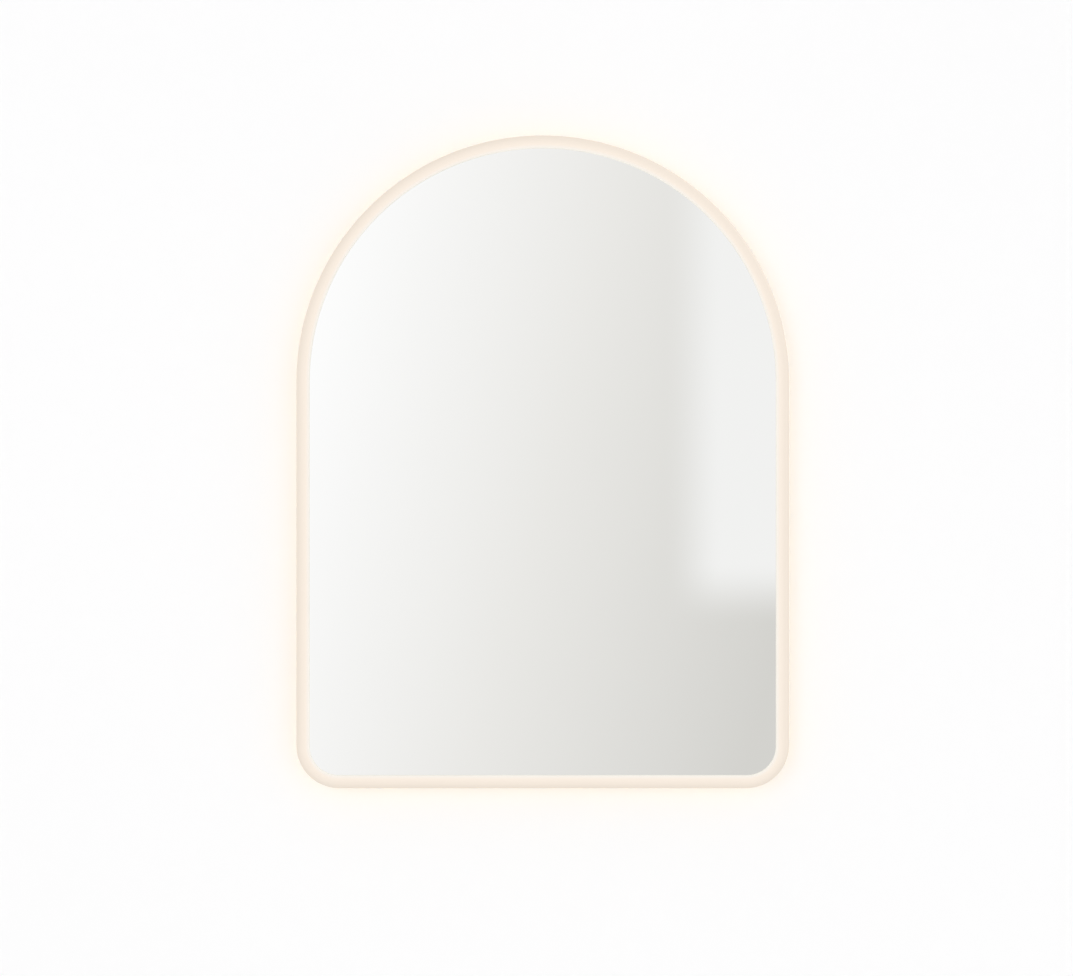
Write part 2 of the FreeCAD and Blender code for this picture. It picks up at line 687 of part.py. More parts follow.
def tray_panel():
    """Flat steel back, seam-welded flush into the rim, with two pressed ridges and the hatch."""
    sheet = (TRAY_BACK, TRAY_FLOOR)
    back = TRAY_BACK - RIDGE_RISE
    grooves = ridges(-TRAY_SHEET, (back + TRAY_SHEET, TRAY_FLOOR + CUT_PAST))
    cuts = [hole(SCREW_LARGE + SCREW_CLEARANCE, x, HANGER_SCREW_Z, sheet) for x in hanger_screw_xs()]
    cuts += [hole(SCREW_TRAY + SCREW_CLEARANCE, x, z, sheet) for x, z in inner_screw_spots()]
    cuts.append(rounded_box((HATCH_LEFT, HATCH_RIGHT), past(sheet),
                            (BOX_Z - HATCH_HEIGHT / 2, HATCH_TOP), HATCH_CORNER))
    cuts += [hole(SCREW_SMALL + SCREW_CLEARANCE, x, bracket_screw_z(), sheet)
             for x in bracket_screw_xs()]
    cuts.append(hole(GROMMET_HOLE, GROMMET_X, BOX_Z, sheet))
    panel = arch_plate(TRAY_INSET + TRAY_SEAM, sheet).fuse(ridges(0, (back, TRAY_BACK)))
    return panel.cut(grooves + cuts).removeSplitter()


def tray_gasket():
    ring = arch_ring((GASKET_INSET, GASKET_INSET + GASKET_WIDTH), (TRAY_FRONT, FRAME_BACK))
    holes = [hole(SCREW_TRAY + SCREW_CLEARANCE, x, z, (TRAY_FRONT, FRAME_BACK))
             for x, z in stations(TRAY_SCREW_INSET, TRAY_SCREW_COUNT)]
    return ring.cut(holes)


def tray_screws():
    seat = TRAY_FRONT - TRAY_SHEET
    return group([placed(screw(SCREW_TRAY, TRAY_SCREW_LENGTH), at(x, seat, z), OUT)
                  for x, z in stations(TRAY_SCREW_INSET, TRAY_SCREW_COUNT)])


def wall_bumpers():
    z = TRAY_LOW + BUMPER_UP
    return group([Part.makeCone(BUMPER_TIP_RADIUS, BUMPER_RADIUS, TRAY_BACK, at(x, 0, z), OUT)
                  for x in (-BUMPER_SPACING / 2, BUMPER_SPACING / 2)])


# ---------------------------------------------------------------- rails
def folded_rail(points, length):
    """A folded strip: its (z, depth) section pushed along X, with rounded folds."""
    rail = prism([at(-length / 2, depth, z) for z, depth in points], RIGHT * length)
    folds = [e for e in rail.Edges if abs(e.tangentAt(e.FirstParameter).x) > 0.9]
    depths = sorted({round(depth, 6) for z, depth in points})
    folds = [e for e in folds if fold_at(e, points, depths)]
    return rail.makeFillet(RAIL_BEND, folds)


def fold_at(edge, points, depths):
    """Only the outer corners of the two folds are rounded."""
    z = edge.CenterOfMass.z
    depth = -edge.CenterOfMass.y
    corners = (points[3], points[7])
    return any(abs(z - cz) < 0.01 and abs(depth - cd) < 0.01 for cz, cd in corners)


def wall_rail():
    """Z-shaped strip on the wall: plate, jog and upright tongue."""
    points = [(-RAIL_BELOW, RAIL_SHEET), (RAIL_JOG, RAIL_SHEET), (RAIL_JOG, TONGUE_BACK),
              (RAIL_JOG, TONGUE_FRONT), (TONGUE_EDGE, TONGUE_FRONT), (TONGUE_EDGE, TONGUE_BACK),
              (JOG_TOP, TONGUE_BACK), (JOG_TOP, 0), (-RAIL_BELOW, 0)]
    rail = folded_rail(points, RAIL_LENGTH)
    plate = (0, RAIL_SHEET)
    cuts = [hole(WALL_HOLE_RADIUS, x, 0, plate)
            for x in (-WALL_HOLE_SPACING / 2, WALL_HOLE_SPACING / 2)]
    cuts += [slot(x, 0, WALL_SLOT_LENGTH, WALL_HOLE_RADIUS, past(plate))
             for x in (-WALL_SLOT_SPACING / 2, WALL_SLOT_SPACING / 2)]
    return rail.cut(cuts)


def hanger_screw_xs():
    return [(i - (HANGER_SCREW_COUNT - 1) / 2) * HANGER_SCREW_SPACING for i in range(HANGER_SCREW_COUNT)]


def hanger_rail():
    """The strip on the mirror's back whose tongue hooks down behind the wall rail's."""
    hook_low = TONGUE_EDGE - HANGER_TONGUE
    plate_top = TONGUE_EDGE + RAIL_SHEET + HANGER_PLATE
    hook_front = HOOK_OFF_WALL + RAIL_SHEET
    points = [(hook_low, hook_front), (TONGUE_EDGE, hook_front), (TONGUE_EDGE, HANGER_BACK),
              (TONGUE_EDGE, TRAY_BACK), (plate_top, TRAY_BACK), (plate_top, HANGER_BACK),
              (TONGUE_EDGE + RAIL_SHEET, HANGER_BACK), (TONGUE_EDGE + RAIL_SHEET, HOOK_OFF_WALL),
              (hook_low, HOOK_OFF_WALL)]
    rail = folded_rail(points, HANGER_LENGTH)
    holes = [hole(SCREW_LARGE + SCREW_CLEARANCE, x, HANGER_SCREW_Z, (HANGER_BACK, TRAY_BACK))
             for x in hanger_screw_xs()]
    return rail.cut(holes)


def hanger_bar():
    """Strip inside the tray that spreads the hanger's load."""
    half = HANGER_LENGTH / 2
    half_height = HANGER_PLATE / 2 + HANGER_BAR_SIDE
    depth = (TRAY_FLOOR, TRAY_FLOOR + HANGER_BAR)
    bar = box((-half, half), depth, (HANGER_SCREW_Z - half_height, HANGER_SCREW_Z + half_height))
    holes = [hole(SCREW_LARGE + SCREW_CLEARANCE, x, HANGER_SCREW_Z, depth)
             for x in hanger_screw_xs()]
    return bar.cut(holes)


def hanger_screws():
    length = (TRAY_FLOOR + HANGER_BAR - HANGER_BACK) + nut_height(SCREW_LARGE) + THREAD_PAST_NUT
    return group([placed(screw(SCREW_LARGE, length), at(x, HANGER_BACK, HANGER_SCREW_Z), OUT)
                  for x in hanger_screw_xs()])


def hanger_nuts():
    return group([placed(nut(SCREW_LARGE), at(x, TRAY_FLOOR + HANGER_BAR, HANGER_SCREW_Z), OUT)
                  for x in hanger_screw_xs()])


# ---------------------------------------------------------------- wiring box
def box_screw_spots():
    ear = BOX_LENGTH / 2 + BOX_EAR / 2
    return [(BOX_X - ear, BOX_Z), (BOX_X + ear, BOX_Z - BOX_HEIGHT / 2 + BOX_EAR / 2)]


def driver_screw_spots():
    ear = DRIVER_LENGTH / 2 + DRIVER_EAR / 2
    return [(DRIVER_X - ear, DRIVER_Z - DRIVER_HEIGHT / 2 + DRIVER_EAR / 2),
            (DRIVER_X + ear, DRIVER_Z - DRIVER_HEIGHT / 2 + DRIVER_EAR / 2)]


def inner_screw_spots():
    """Screws that pass through the tray's back into the box and the power supply."""
    return box_screw_spots() + driver_screw_spots()


def ear(x, z, toward, length, sheet):
    """A mounting ear with its hole, standing off a case towards -X or +X."""
    half = length / 2
    depth = (TRAY_FLOOR, TRAY_FLOOR + sheet)
    root = x - toward * half
    block = box(sorted((root, x)), depth, (z - half, z + half))
    pad = block.fuse(disc(half, x, z, depth))
    return pad.cut(hole(SCREW_TRAY + SCREW_CLEARANCE, x, z, depth))


def wiring_box():
    """Open towards the tray's back, so that its lid and the cable grommet reach into it."""
    half_length = BOX_LENGTH / 2
    half_height = BOX_HEIGHT / 2
    shell = rounded_box((BOX_X - half_length, BOX_X + half_length), (TRAY_FLOOR, BOX_FRONT),
                        (BOX_Z - half_height, BOX_Z + half_height), HATCH_CORNER)
    inside = box((BOX_LEFT + BOX_WALL, BOX_RIGHT - BOX_WALL),
                 (TRAY_FLOOR - CUT_PAST, BOX_FRONT - BOX_WALL),
                 (BOX_Z - half_height + BOX_WALL, BOX_Z + half_height - BOX_WALL))
    left, right = box_screw_spots()
    ears = [ear(left[0], left[1], -1, BOX_EAR, BOX_EAR_SHEET),
            ear(right[0], right[1], 1, BOX_EAR, BOX_EAR_SHEET)]
    exits = [drill(LEAD_MAINS + LEAD_PLAY, at(BOX_RIGHT - BOX_WALL, ENTRY_DEPTH, z),
                   RIGHT, BOX_WALL) for z in POLE_Z]
    return shell.cut([inside] + exits).fuse(ears).removeSplitter()


def mount_screws(spots, sheet):
    length = TRAY_SHEET + sheet + nut_height(SCREW_TRAY) + THREAD_PAST_NUT
    return group([placed(screw(SCREW_TRAY, length), at(x, TRAY_BACK, z), OUT) for x, z in spots])


def mount_nuts(spots, sheet):
    return group([placed(nut(SCREW_TRAY), at(x, TRAY_FLOOR + sheet, z), OUT) for x, z in spots])


def cable_grommet():
    """Rubber ring in the tray's back, where a mains cable would enter."""
    back = TRAY_BACK - GROMMET_FLANGE_SHEET
    front = TRAY_FLOOR + GROMMET_FLANGE_SHEET
    ring = disc(GROMMET_FLANGE, GROMMET_X, BOX_Z, (back, TRAY_BACK))
    ring = ring.fuse([disc(GROMMET_FLANGE, GROMMET_X, BOX_Z, (TRAY_FLOOR, front)),
                      disc(GROMMET_HOLE - SCREW_CLEARANCE, GROMMET_X, BOX_Z, (TRAY_BACK, TRAY_FLOOR))])
    rims = [e for e in ring.Edges
            if abs(-e.CenterOfMass.y - back) < 0.01 or abs(-e.CenterOfMass.y - front) < 0.01]
    ring = ring.makeFillet(GROMMET_FLANGE_SHEET / 2, rims)
    return ring.cut(hole(GROMMET_BORE, GROMMET_X, BOX_Z, (back, front)))


# ---------------------------------------------------------------- wiring lid
def bracket_low():
    """Lower edge of the lid's hinge bracket, clear of the knuckle."""
    return PIN_Z + LID_KNUCKLE + LID_LUG_GAP


def bracket_screw_z():
    return bracket_low() + LID_BRACKET_HEIGHT / 2


def bracket_screw_xs():
    quarter = LUG_SPAN / 4
    return [HATCH_X - quarter, HATCH_X + quarter]


def lid_lug_xs():
    half = LUG_SPAN / 2
    return [(HATCH_X - half, HATCH_X - half + LID_LUG), (HATCH_X + half - LID_LUG, HATCH_X + half)]


def lid_bracket():
    """Plate on the tray's back with the two lugs that hold the lid's pin."""
    half = LUG_SPAN / 2
    plate = box((HATCH_X - half, HATCH_X + half), (TRAY_BACK - LID_BRACKET_SHEET, TRAY_BACK),
                (bracket_low(), bracket_low() + LID_BRACKET_HEIGHT))
    lugs = []
    for x in lid_lug_xs():
        arm = box(x, (PIN_DEPTH - LID_KNUCKLE, TRAY_BACK), (PIN_Z, bracket_low() + LID_LUG))
        lugs += [arm, rod(LID_KNUCKLE, at(x[0], PIN_DEPTH, PIN_Z), RIGHT, LID_LUG)]
    pin_hole = drill(LID_PIN + RUNNING, at(HATCH_X - half, PIN_DEPTH, PIN_Z), RIGHT, LUG_SPAN)
    holes = [hole(SCREW_SMALL + SCREW_CLEARANCE, x, bracket_screw_z(),
                  (TRAY_BACK - LID_BRACKET_SHEET, TRAY_BACK)) for x in bracket_screw_xs()]
    return plate.fuse(lugs).cut([pin_hole] + holes).removeSplitter()


def bracket_rivets():
    """Domed rivets, closed over inside the tray."""
    rivets = []
    for x in bracket_screw_xs():
        z = bracket_screw_z()
        seat = TRAY_BACK - LID_BRACKET_SHEET
        grip = (seat, TRAY_FLOOR)
        head = disc(SCREW_SMALL * SCREW_HEAD_RATIO, x, z, (seat - SCREW_SMALL, seat))
        rim = [e for e in head.Edges if len(e.Vertexes) == 1 and -e.CenterOfMass.y < seat - 0.1]
        head = head.makeFillet(SCREW_SMALL * 0.8, rim)
        shop = disc(SCREW_SMALL * 1.5, x, z, (TRAY_FLOOR, TRAY_FLOOR + SCREW_SMALL * 0.8))
        rivets.append(head.fuse([disc(SCREW_SMALL, x, z, grip), shop]).removeSplitter())
    return group(rivets)


def lid_pin():
    half = LUG_SPAN / 2
    return rod(LID_PIN, at(HATCH_X - half, PIN_DEPTH, PIN_Z), RIGHT, LUG_SPAN)


def wiring_lid():
    """Flap over the hatch, with its knuckle round the pin and a lip for a fingertip."""
    half = HATCH_LENGTH / 2 + LID_LAP
    low = BOX_Z - HATCH_HEIGHT / 2 - LID_LAP
    depth = (LID_FRONT - LID_SHEET, LID_FRONT)
    plate = rounded_box((HATCH_X - half, HATCH_X + half), depth, (low, LID_TOP), HATCH_CORNER)
    inner = LUG_SPAN / 2 - LID_LUG - LID_LUG_GAP
    start = at(HATCH_X - inner, PIN_DEPTH, PIN_Z)
    knuckle = rod(LID_KNUCKLE, start, RIGHT, 2 * inner)
    neck = box((HATCH_X - inner, HATCH_X + inner), (PIN_DEPTH, LID_FRONT - LID_SHEET / 2),
               (LID_TOP - LID_LAP, PIN_Z))
    lip = box((HATCH_X - LID_FINGER / 2, HATCH_X + LID_FINGER / 2),
              (depth[0] - LID_FINGER_RISE, depth[0]), (low, low + LID_SHEET))
    relief = [box((x[0] - LID_LUG_GAP, x[1] + LID_LUG_GAP), past(depth),
                  (PIN_Z - LID_KNUCKLE - LID_LUG_GAP, LID_TOP + CUT_PAST)) for x in lid_lug_xs()]
    pin_hole = rod(LID_PIN + RUNNING, at(HATCH_X - half, PIN_DEPTH, PIN_Z), RIGHT, 2 * half)
    return plate.cut(relief).fuse([knuckle, neck, lip]).cut(pin_hole).removeSplitter()


# ---------------------------------------------------------------- terminal block
def terminal_block():
    half = POLES * POLE_PITCH / 2
    block = rounded_box((BLOCK_LEFT, BLOCK_RIGHT), (BLOCK_BACK, BLOCK_FRONT),
                        (BOX_Z - half, BOX_Z + half), 1.0)
    slot_half = LEVER_WIDTH / 2 + LEVER_SIDE_GAP
    slot_floor = LEVER_DEPTH + LEVER_HUB + LEVER_SIDE_GAP
    tip = LEVER_X - LEVER_REACH - LEVER_SIDE_GAP
    cuts = []
    for z in POLE_Z:
        cuts.append(box((tip, LEVER_X + LEVER_HUB + LEVER_SIDE_GAP), (BLOCK_BACK - CUT_PAST, slot_floor),
                        (z - slot_half, z + slot_half)))
        reach = LEVER_WIDTH / 2 + LEVER_AXLE_END + LEVER_SIDE_GAP
        cuts.append(rod(LEVER_AXLE + RUNNING, at(LEVER_X, LEVER_DEPTH, z - reach), UP, 2 * reach))
        chamber = (ENTRY_DEPTH - CHAMBER_HEIGHT / 2, ENTRY_DEPTH + CHAMBER_HEIGHT / 2)
        middle = (BLOCK_LEFT + BLOCK_RIGHT) / 2
        cuts.append(box((middle - CLIP_LENGTH / 2, middle + CLIP_LENGTH / 2), chamber,
                        (z - CHAMBER_WIDTH / 2, z + CHAMBER_WIDTH / 2)))
        cuts.append(drill(ENTRY_RADIUS, at(BLOCK_LEFT, ENTRY_DEPTH, z), RIGHT, BLOCK_LENGTH))
    return block.cut(cuts)


def contact_clips():
    middle = (BLOCK_LEFT + BLOCK_RIGHT) / 2
    high = ENTRY_DEPTH + CHAMBER_HEIGHT / 2
    return group([box((middle - CLIP_LENGTH / 2 + FIT, middle + CLIP_LENGTH / 2 - FIT),
                      (high - CLIP_SHEET, high), (z - CLIP_WIDTH / 2, z + CLIP_WIDTH / 2))
                  for z in POLE_Z])


def lever(z):
    """Clamping lever with its axle stubs and a raised tip to lift it by."""
    half = LEVER_WIDTH / 2
    low = z - half
    hub = rod(LEVER_HUB, at(LEVER_X, LEVER_DEPTH, low), UP, LEVER_WIDTH)
    arm_back = LEVER_DEPTH - LEVER_HUB
    arm = box((LEVER_X - LEVER_REACH, LEVER_X), (arm_back, arm_back + LEVER_SHEET), (low, z + half))
    tip = box((LEVER_X - LEVER_REACH, LEVER_X - LEVER_REACH + LEVER_SHEET),
              (arm_back - LEVER_SIDE_GAP * 2, arm_back), (low, z + half))
    axle = rod(LEVER_AXLE, at(LEVER_X, LEVER_DEPTH, low - LEVER_AXLE_END), UP,
               LEVER_WIDTH + 2 * LEVER_AXLE_END)
    return hub.fuse([arm, tip, axle]).removeSplitter()


# ---------------------------------------------------------------- power supply
def driver_exit_zs():
    return [DRIVER_Z - LEAD_SPACE / 2, DRIVER_Z + LEAD_SPACE / 2]


def board_post_spots():
    x = DRIVER_LENGTH / 2 - DRIVER_WALL - POST_RADIUS - POST_GAP
    z = DRIVER_HEIGHT / 2 - DRIVER_WALL - POST_RADIUS - POST_GAP
    return [(DRIVER_X + i * x, DRIVER_Z + j * z) for i in (-1, 1) for j in (-1, 1)]


def driver_case():
    half_length = DRIVER_LENGTH / 2
    half_height = DRIVER_HEIGHT / 2
    shell = rounded_box((DRIVER_LEFT, DRIVER_RIGHT), (TRAY_FLOOR, DRIVER_OPEN),
                        (DRIVER_Z - half_height, DRIVER_Z + half_height), DRIVER_CORNER)
    inside = rounded_box((DRIVER_X - half_length + DRIVER_WALL, DRIVER_X + half_length - DRIVER_WALL),
                         (TRAY_FLOOR + DRIVER_WALL, DRIVER_OPEN + CUT_PAST),
                         (DRIVER_Z - half_height + DRIVER_WALL, DRIVER_Z + half_height - DRIVER_WALL),
                         DRIVER_CORNER - DRIVER_WALL)
    posts = [disc(POST_RADIUS, x, z, (TRAY_FLOOR + DRIVER_WALL / 2, BOARD_BACK))
             for x, z in board_post_spots()]
    left, right = driver_screw_spots()
    ears = [ear(left[0], left[1], -1, DRIVER_EAR, DRIVER_EAR_SHEET),
            ear(right[0], right[1], 1, DRIVER_EAR, DRIVER_EAR_SHEET)]
    exits = [drill(LEAD_MAINS + LEAD_PLAY, at(DRIVER_LEFT, DRIVER_LEAD_DEPTH, z),
                   RIGHT, DRIVER_WALL) for z in driver_exit_zs()]
    exits.append(drill(LEAD_PAIR + LEAD_PLAY, at(DRIVER_RIGHT - DRIVER_WALL, DRIVER_LEAD_DEPTH, DRIVER_Z),
                       RIGHT, DRIVER_WALL))
    return shell.cut([inside] + exits).fuse(ears + posts).removeSplitter()


def driver_lid():
    """Flat cover with a rim that drops inside the case."""
    half_length = DRIVER_LENGTH / 2
    half_height = DRIVER_HEIGHT / 2
    plate = rounded_box((DRIVER_LEFT, DRIVER_RIGHT), (DRIVER_OPEN, DRIVER_OPEN + DRIVER_LID),
                        (DRIVER_Z - half_height, DRIVER_Z + half_height), DRIVER_CORNER)
    inset = DRIVER_WALL + FIT
    corner = DRIVER_CORNER - DRIVER_WALL
    rim_depth = (DRIVER_OPEN - DRIVER_LID_RIM, DRIVER_OPEN)
    rim = rounded_box((DRIVER_LEFT + inset, DRIVER_RIGHT - inset), rim_depth,
                      (DRIVER_Z - half_height + inset, DRIVER_Z + half_height - inset), corner)
    inner = inset + DRIVER_WALL
    hollow = box((DRIVER_LEFT + inner, DRIVER_RIGHT - inner), (rim_depth[0] - CUT_PAST, DRIVER_OPEN),
                 (DRIVER_Z - half_height + inner, DRIVER_Z + half_height - inner))
    return plate.fuse(rim).cut(hollow).removeSplitter()


def driver_board():
    inset = DRIVER_WALL + BOARD_GAP
    half_height = DRIVER_HEIGHT / 2 - inset
    return rounded_box((DRIVER_LEFT + inset, DRIVER_RIGHT - inset), (BOARD_BACK, BOARD_FRONT),
                       (DRIVER_Z - half_height, DRIVER_Z + half_height), 1.0)


def driver_transformer():
    """Ferrite core round a wound bobbin."""
    half = TRANSFORMER_LENGTH / 2
    half_height = TRANSFORMER_HEIGHT / 2
    top = BOARD_FRONT + TRANSFORMER_DEPTH
    core = box((DRIVER_X - half, DRIVER_X + half), (BOARD_FRONT + BOBBIN_PROUD, top - BOBBIN_PROUD),
               (DRIVER_Z - half_height, DRIVER_Z + half_height))
    bobbin = rounded_box((DRIVER_X - half * 0.6, DRIVER_X + half * 0.6), (BOARD_FRONT, top),
                         (DRIVER_Z - half_height * 0.8, DRIVER_Z + half_height * 0.8), 2.0)
    return core.fuse(bobbin).removeSplitter()


def driver_capacitors():
    """Two upright cans at each end of the transformer."""
    cans = []
    for side in (-1, 1):
        x = DRIVER_X + side * (TRANSFORMER_LENGTH / 2 + 2 * CAPACITOR_RADIUS + CAPACITOR_GAP)
        for z in (DRIVER_Z - CAPACITOR_PITCH / 2, DRIVER_Z + CAPACITOR_PITCH / 2):
            cans.append(disc(CAPACITOR_RADIUS, x, z, (BOARD_FRONT, BOARD_FRONT + CAPACITOR_DEPTH)))
    return group(cans)


# ---------------------------------------------------------------- dimmer
def dimmer_left_zs():
    return [DIMMER_Z - PAIR_SPACE, DIMMER_Z + PAIR_SPACE]


def dimmer_case():
    """Low box, open to the tray's floor, with the board inside."""
    half_height = DIMMER_HEIGHT / 2
    front = TRAY_FLOOR + DIMMER_DEPTH
    shell = rounded_box((DIMMER_LEFT, DIMMER_RIGHT), (TRAY_FLOOR, front),
                        (DIMMER_Z - half_height, DIMMER_Z + half_height), DRIVER_CORNER)
    inside = box((DIMMER_LEFT + DIMMER_WALL, DIMMER_RIGHT - DIMMER_WALL),
                 (TRAY_FLOOR - CUT_PAST, front - DIMMER_WALL),
                 (DIMMER_Z - half_height + DIMMER_WALL, DIMMER_Z + half_height - DIMMER_WALL))
    low, high = dimmer_left_zs()
    right = DIMMER_RIGHT - DIMMER_WALL
    exits = [drill(radius + LEAD_PLAY, at(x, DIMMER_LEAD_DEPTH, z), RIGHT, DIMMER_WALL)
             for radius, x, z in ((LEAD_THIN, DIMMER_LEFT, low), (LEAD_PAIR, DIMMER_LEFT, high),
                                  (LEAD_PAIR, right, DIMMER_Z))]
    return shell.cut([inside] + exits)


def dimmer_board():
    inset = DIMMER_WALL + FIT
    half_height = DIMMER_HEIGHT / 2 - inset
    front = TRAY_FLOOR + DIMMER_BOARD_UP
    return box((DIMMER_LEFT + inset, DIMMER_RIGHT - inset), (TRAY_FLOOR, front),
               (DIMMER_Z - half_height, DIMMER_Z + half_height))


# ---------------------------------------------------------------- push button
def button_housing():
    """Bezel below the tray's lower wall and a barrel that passes up through it."""
    origin = at(BUTTON_X, BUTTON_DEPTH, BUTTON_SEAT)
    bezel = rod(BUTTON_OUTER + BUTTON_BEZEL_RIM, origin, DOWN, BUTTON_BEZEL)
    low = BUTTON_SEAT - BUTTON_BEZEL
    rim = [e for e in bezel.Edges if len(e.Vertexes) == 1 and e.CenterOfMass.z < low + 0.1]
    bezel = bezel.makeFillet(BUTTON_BEZEL * 0.6, rim)
    barrel = rod(BUTTON_OUTER, origin, UP, BUTTON_BARREL)
    chamber = rod(BUTTON_CHAMBER, origin, UP, BUTTON_BARREL - BUTTON_HEAD_WALL)
    mouth = drill(BUTTON_BORE, at(BUTTON_X, BUTTON_DEPTH, low), UP, BUTTON_BEZEL)
    tail = drill(LEAD_THIN + LEAD_PLAY, at(BUTTON_X, BUTTON_DEPTH, BUTTON_TOP - BUTTON_HEAD_WALL),
                 UP, BUTTON_HEAD_WALL)
    return bezel.fuse(barrel).cut([chamber, mouth, tail]).removeSplitter()


def button_cap():
    tip = BUTTON_SEAT - BUTTON_BEZEL - BUTTON_PROUD
    stem = rod(BUTTON_STEM, at(BUTTON_X, BUTTON_DEPTH, tip), UP, COLLAR_LOW - tip)
    rim = [e for e in stem.Edges if len(e.Vertexes) == 1 and e.CenterOfMass.z < tip + 0.1]
    stem = stem.makeFillet(BUTTON_PROUD * 0.4, rim)
    collar = rod(BUTTON_COLLAR, at(BUTTON_X, BUTTON_DEPTH, COLLAR_LOW), UP, BUTTON_FLANGE_SHEET)
    return stem.fuse(collar).removeSplitter()


def button_spring():
    """Return spring between the cap's collar and the barrel's closed end."""
    radius = BUTTON_COLLAR - 2 * SPRING_WIRE
    room = BUTTON_TOP - BUTTON_HEAD_WALL - COLLAR_HIGH
    rise = room - 2 * SPRING_WIRE
    helix = Part.makeHelix(rise / SPRING_TURNS, rise, radius)
    start = FreeCAD.Vector(radius, 0, 0)
    section = Part.Wire(Part.makeCircle(SPRING_WIRE, start, FreeCAD.Vector(0, 1, 0)))
    coil = Part.Wire(helix.Edges).makePipeShell([section], True, True)
    coil.translate(at(BUTTON_X, BUTTON_DEPTH, COLLAR_HIGH + SPRING_WIRE))
    return coil


def washer(inner, outer, start, thickness):
    ring = rod(outer, start, UP, thickness)
    return ring.cut(drill(inner, start, UP, thickness))


def button_seal():
    start = at(BUTTON_X, BUTTON_DEPTH, BUTTON_SEAT)
    return washer(BUTTON_OUTER + RUNNING, BUTTON_OUTER + BUTTON_BEZEL_RIM, start, BUTTON_SEAL)


def button_nut():
    half_flats = BUTTON_OUTER + BUTTON_NUT_RIM
    corner = half_flats / math.cos(math.pi / 6)
    seat = TRAY_LOW + TRAY_SHEET
    points = [at(BUTTON_X + corner * math.sin(a), BUTTON_DEPTH + corner * math.cos(a), seat)
              for a in (math.pi / 6 + math.pi / 3 * i for i in range(6))]
    body = prism(points, UP * BUTTON_NUT)
    return body.cut(drill(BUTTON_OUTER + RUNNING, at(BUTTON_X, BUTTON_DEPTH, seat), UP, BUTTON_NUT))


# ---------------------------------------------------------------- leads
def terminal_start(z):
    """Where a lead ends inside the terminal block."""
    return at(BLOCK_RIGHT - LEVER_FROM_END, ENTRY_DEPTH, z)


def mains_lead(name, pole_z, driver_z, turn_x):
    """From the terminal block, down past the box and into the power supply."""
    points = [terminal_start(pole_z), at(turn_x, ENTRY_DEPTH, pole_z),
              at(turn_x, DRIVER_LEAD_DEPTH, (pole_z + driver_z) / 2 - POLE_PITCH),
              at(turn_x, DRIVER_LEAD_DEPTH, driver_z),
              at(DRIVER_LEFT + DRIVER_WALL + LEAD_INSIDE, DRIVER_LEAD_DEPTH, driver_z)]
    return lead(name, points, LEAD_MAINS)


def live_lead():
    return mains_lead("live_lead", POLE_Z[0], driver_exit_zs()[0], BOX_RIGHT + LEAD_RUN_PAST_BOX)


def neutral_lead():
    turn_x = BOX_RIGHT + LEAD_RUN_PAST_BOX + LEAD_STEP
    return mains_lead("neutral_lead", POLE_Z[1], driver_exit_zs()[1], turn_x)


def earth_lead():
    """From the terminal block up to the earth stud's tag."""
    tag = TRAY_FLOOR + EARTH_TAG / 2 + LEAD_MAINS
    low = EARTH_Z - EARTH_STUD - EARTH_TAG_RIM
    z = POLE_Z[-1]
    points = [terminal_start(z), at(EARTH_X, ENTRY_DEPTH, z), at(EARTH_X, tag, (z + low) / 2),
              at(EARTH_X, tag, low)]
    return lead("earth_lead", points, LEAD_MAINS)


def earth_stud():
    return disc(EARTH_STUD, EARTH_X, EARTH_Z, (TRAY_FLOOR, TRAY_FLOOR + EARTH_STUD_LENGTH))


def earth_tag():
    """Ring tag on the stud, with the barrel that grips the lead."""
    sheet = (TRAY_FLOOR, TRAY_FLOOR + EARTH_TAG)
    ring = disc(EARTH_STUD + EARTH_TAG_RIM, EARTH_X, EARTH_Z, sheet)
    return ring.cut(hole(EARTH_STUD + RUNNING, EARTH_X, EARTH_Z, sheet))


def earth_nut():
    return placed(nut(EARTH_STUD), at(EARTH_X, TRAY_FLOOR + EARTH_TAG, EARTH_Z), OUT)


def supply_lead():
    """Low-voltage pair from the power supply down to the dimmer."""
    x = DRIVER_RIGHT + LEAD_RUN_PAST_DRIVER
    points = [at(DRIVER_RIGHT - DRIVER_WALL - LEAD_INSIDE, DRIVER_LEAD_DEPTH, DRIVER_Z),
              at(x, DRIVER_LEAD_DEPTH, DRIVER_Z),
              at(x, DIMMER_LEAD_DEPTH, (DRIVER_Z + DIMMER_Z) / 2),
              at(x, DIMMER_LEAD_DEPTH, DIMMER_Z),
              at(DIMMER_RIGHT - DIMMER_WALL - LEAD_INSIDE, DIMMER_LEAD_DEPTH, DIMMER_Z)]
    return lead("supply_lead", points, LEAD_PAIR)


def strip_lead():
    """Low-voltage pair from the dimmer, over the tray's wall, to the light strip."""
    start_z = dimmer_left_zs()[1]
    climb_z = TRAY_LOW + TRAY_SHEET
    points = [at(DIMMER_LEFT + DIMMER_WALL + LEAD_INSIDE, DIMMER_LEAD_DEPTH, start_z),
              at(STRIP_LEAD_X, DIMMER_LEAD_DEPTH, start_z),
              at(STRIP_LEAD_X, DIMMER_LEAD_DEPTH, start_z - DIMMER_UP / 2),
              at(STRIP_LEAD_X, STRIP_DEPTH, climb_z),
              at(STRIP_LEAD_X, STRIP_DEPTH, BOTTOM + WEB_OUT)]
    return lead("strip_lead", points, LEAD_PAIR)


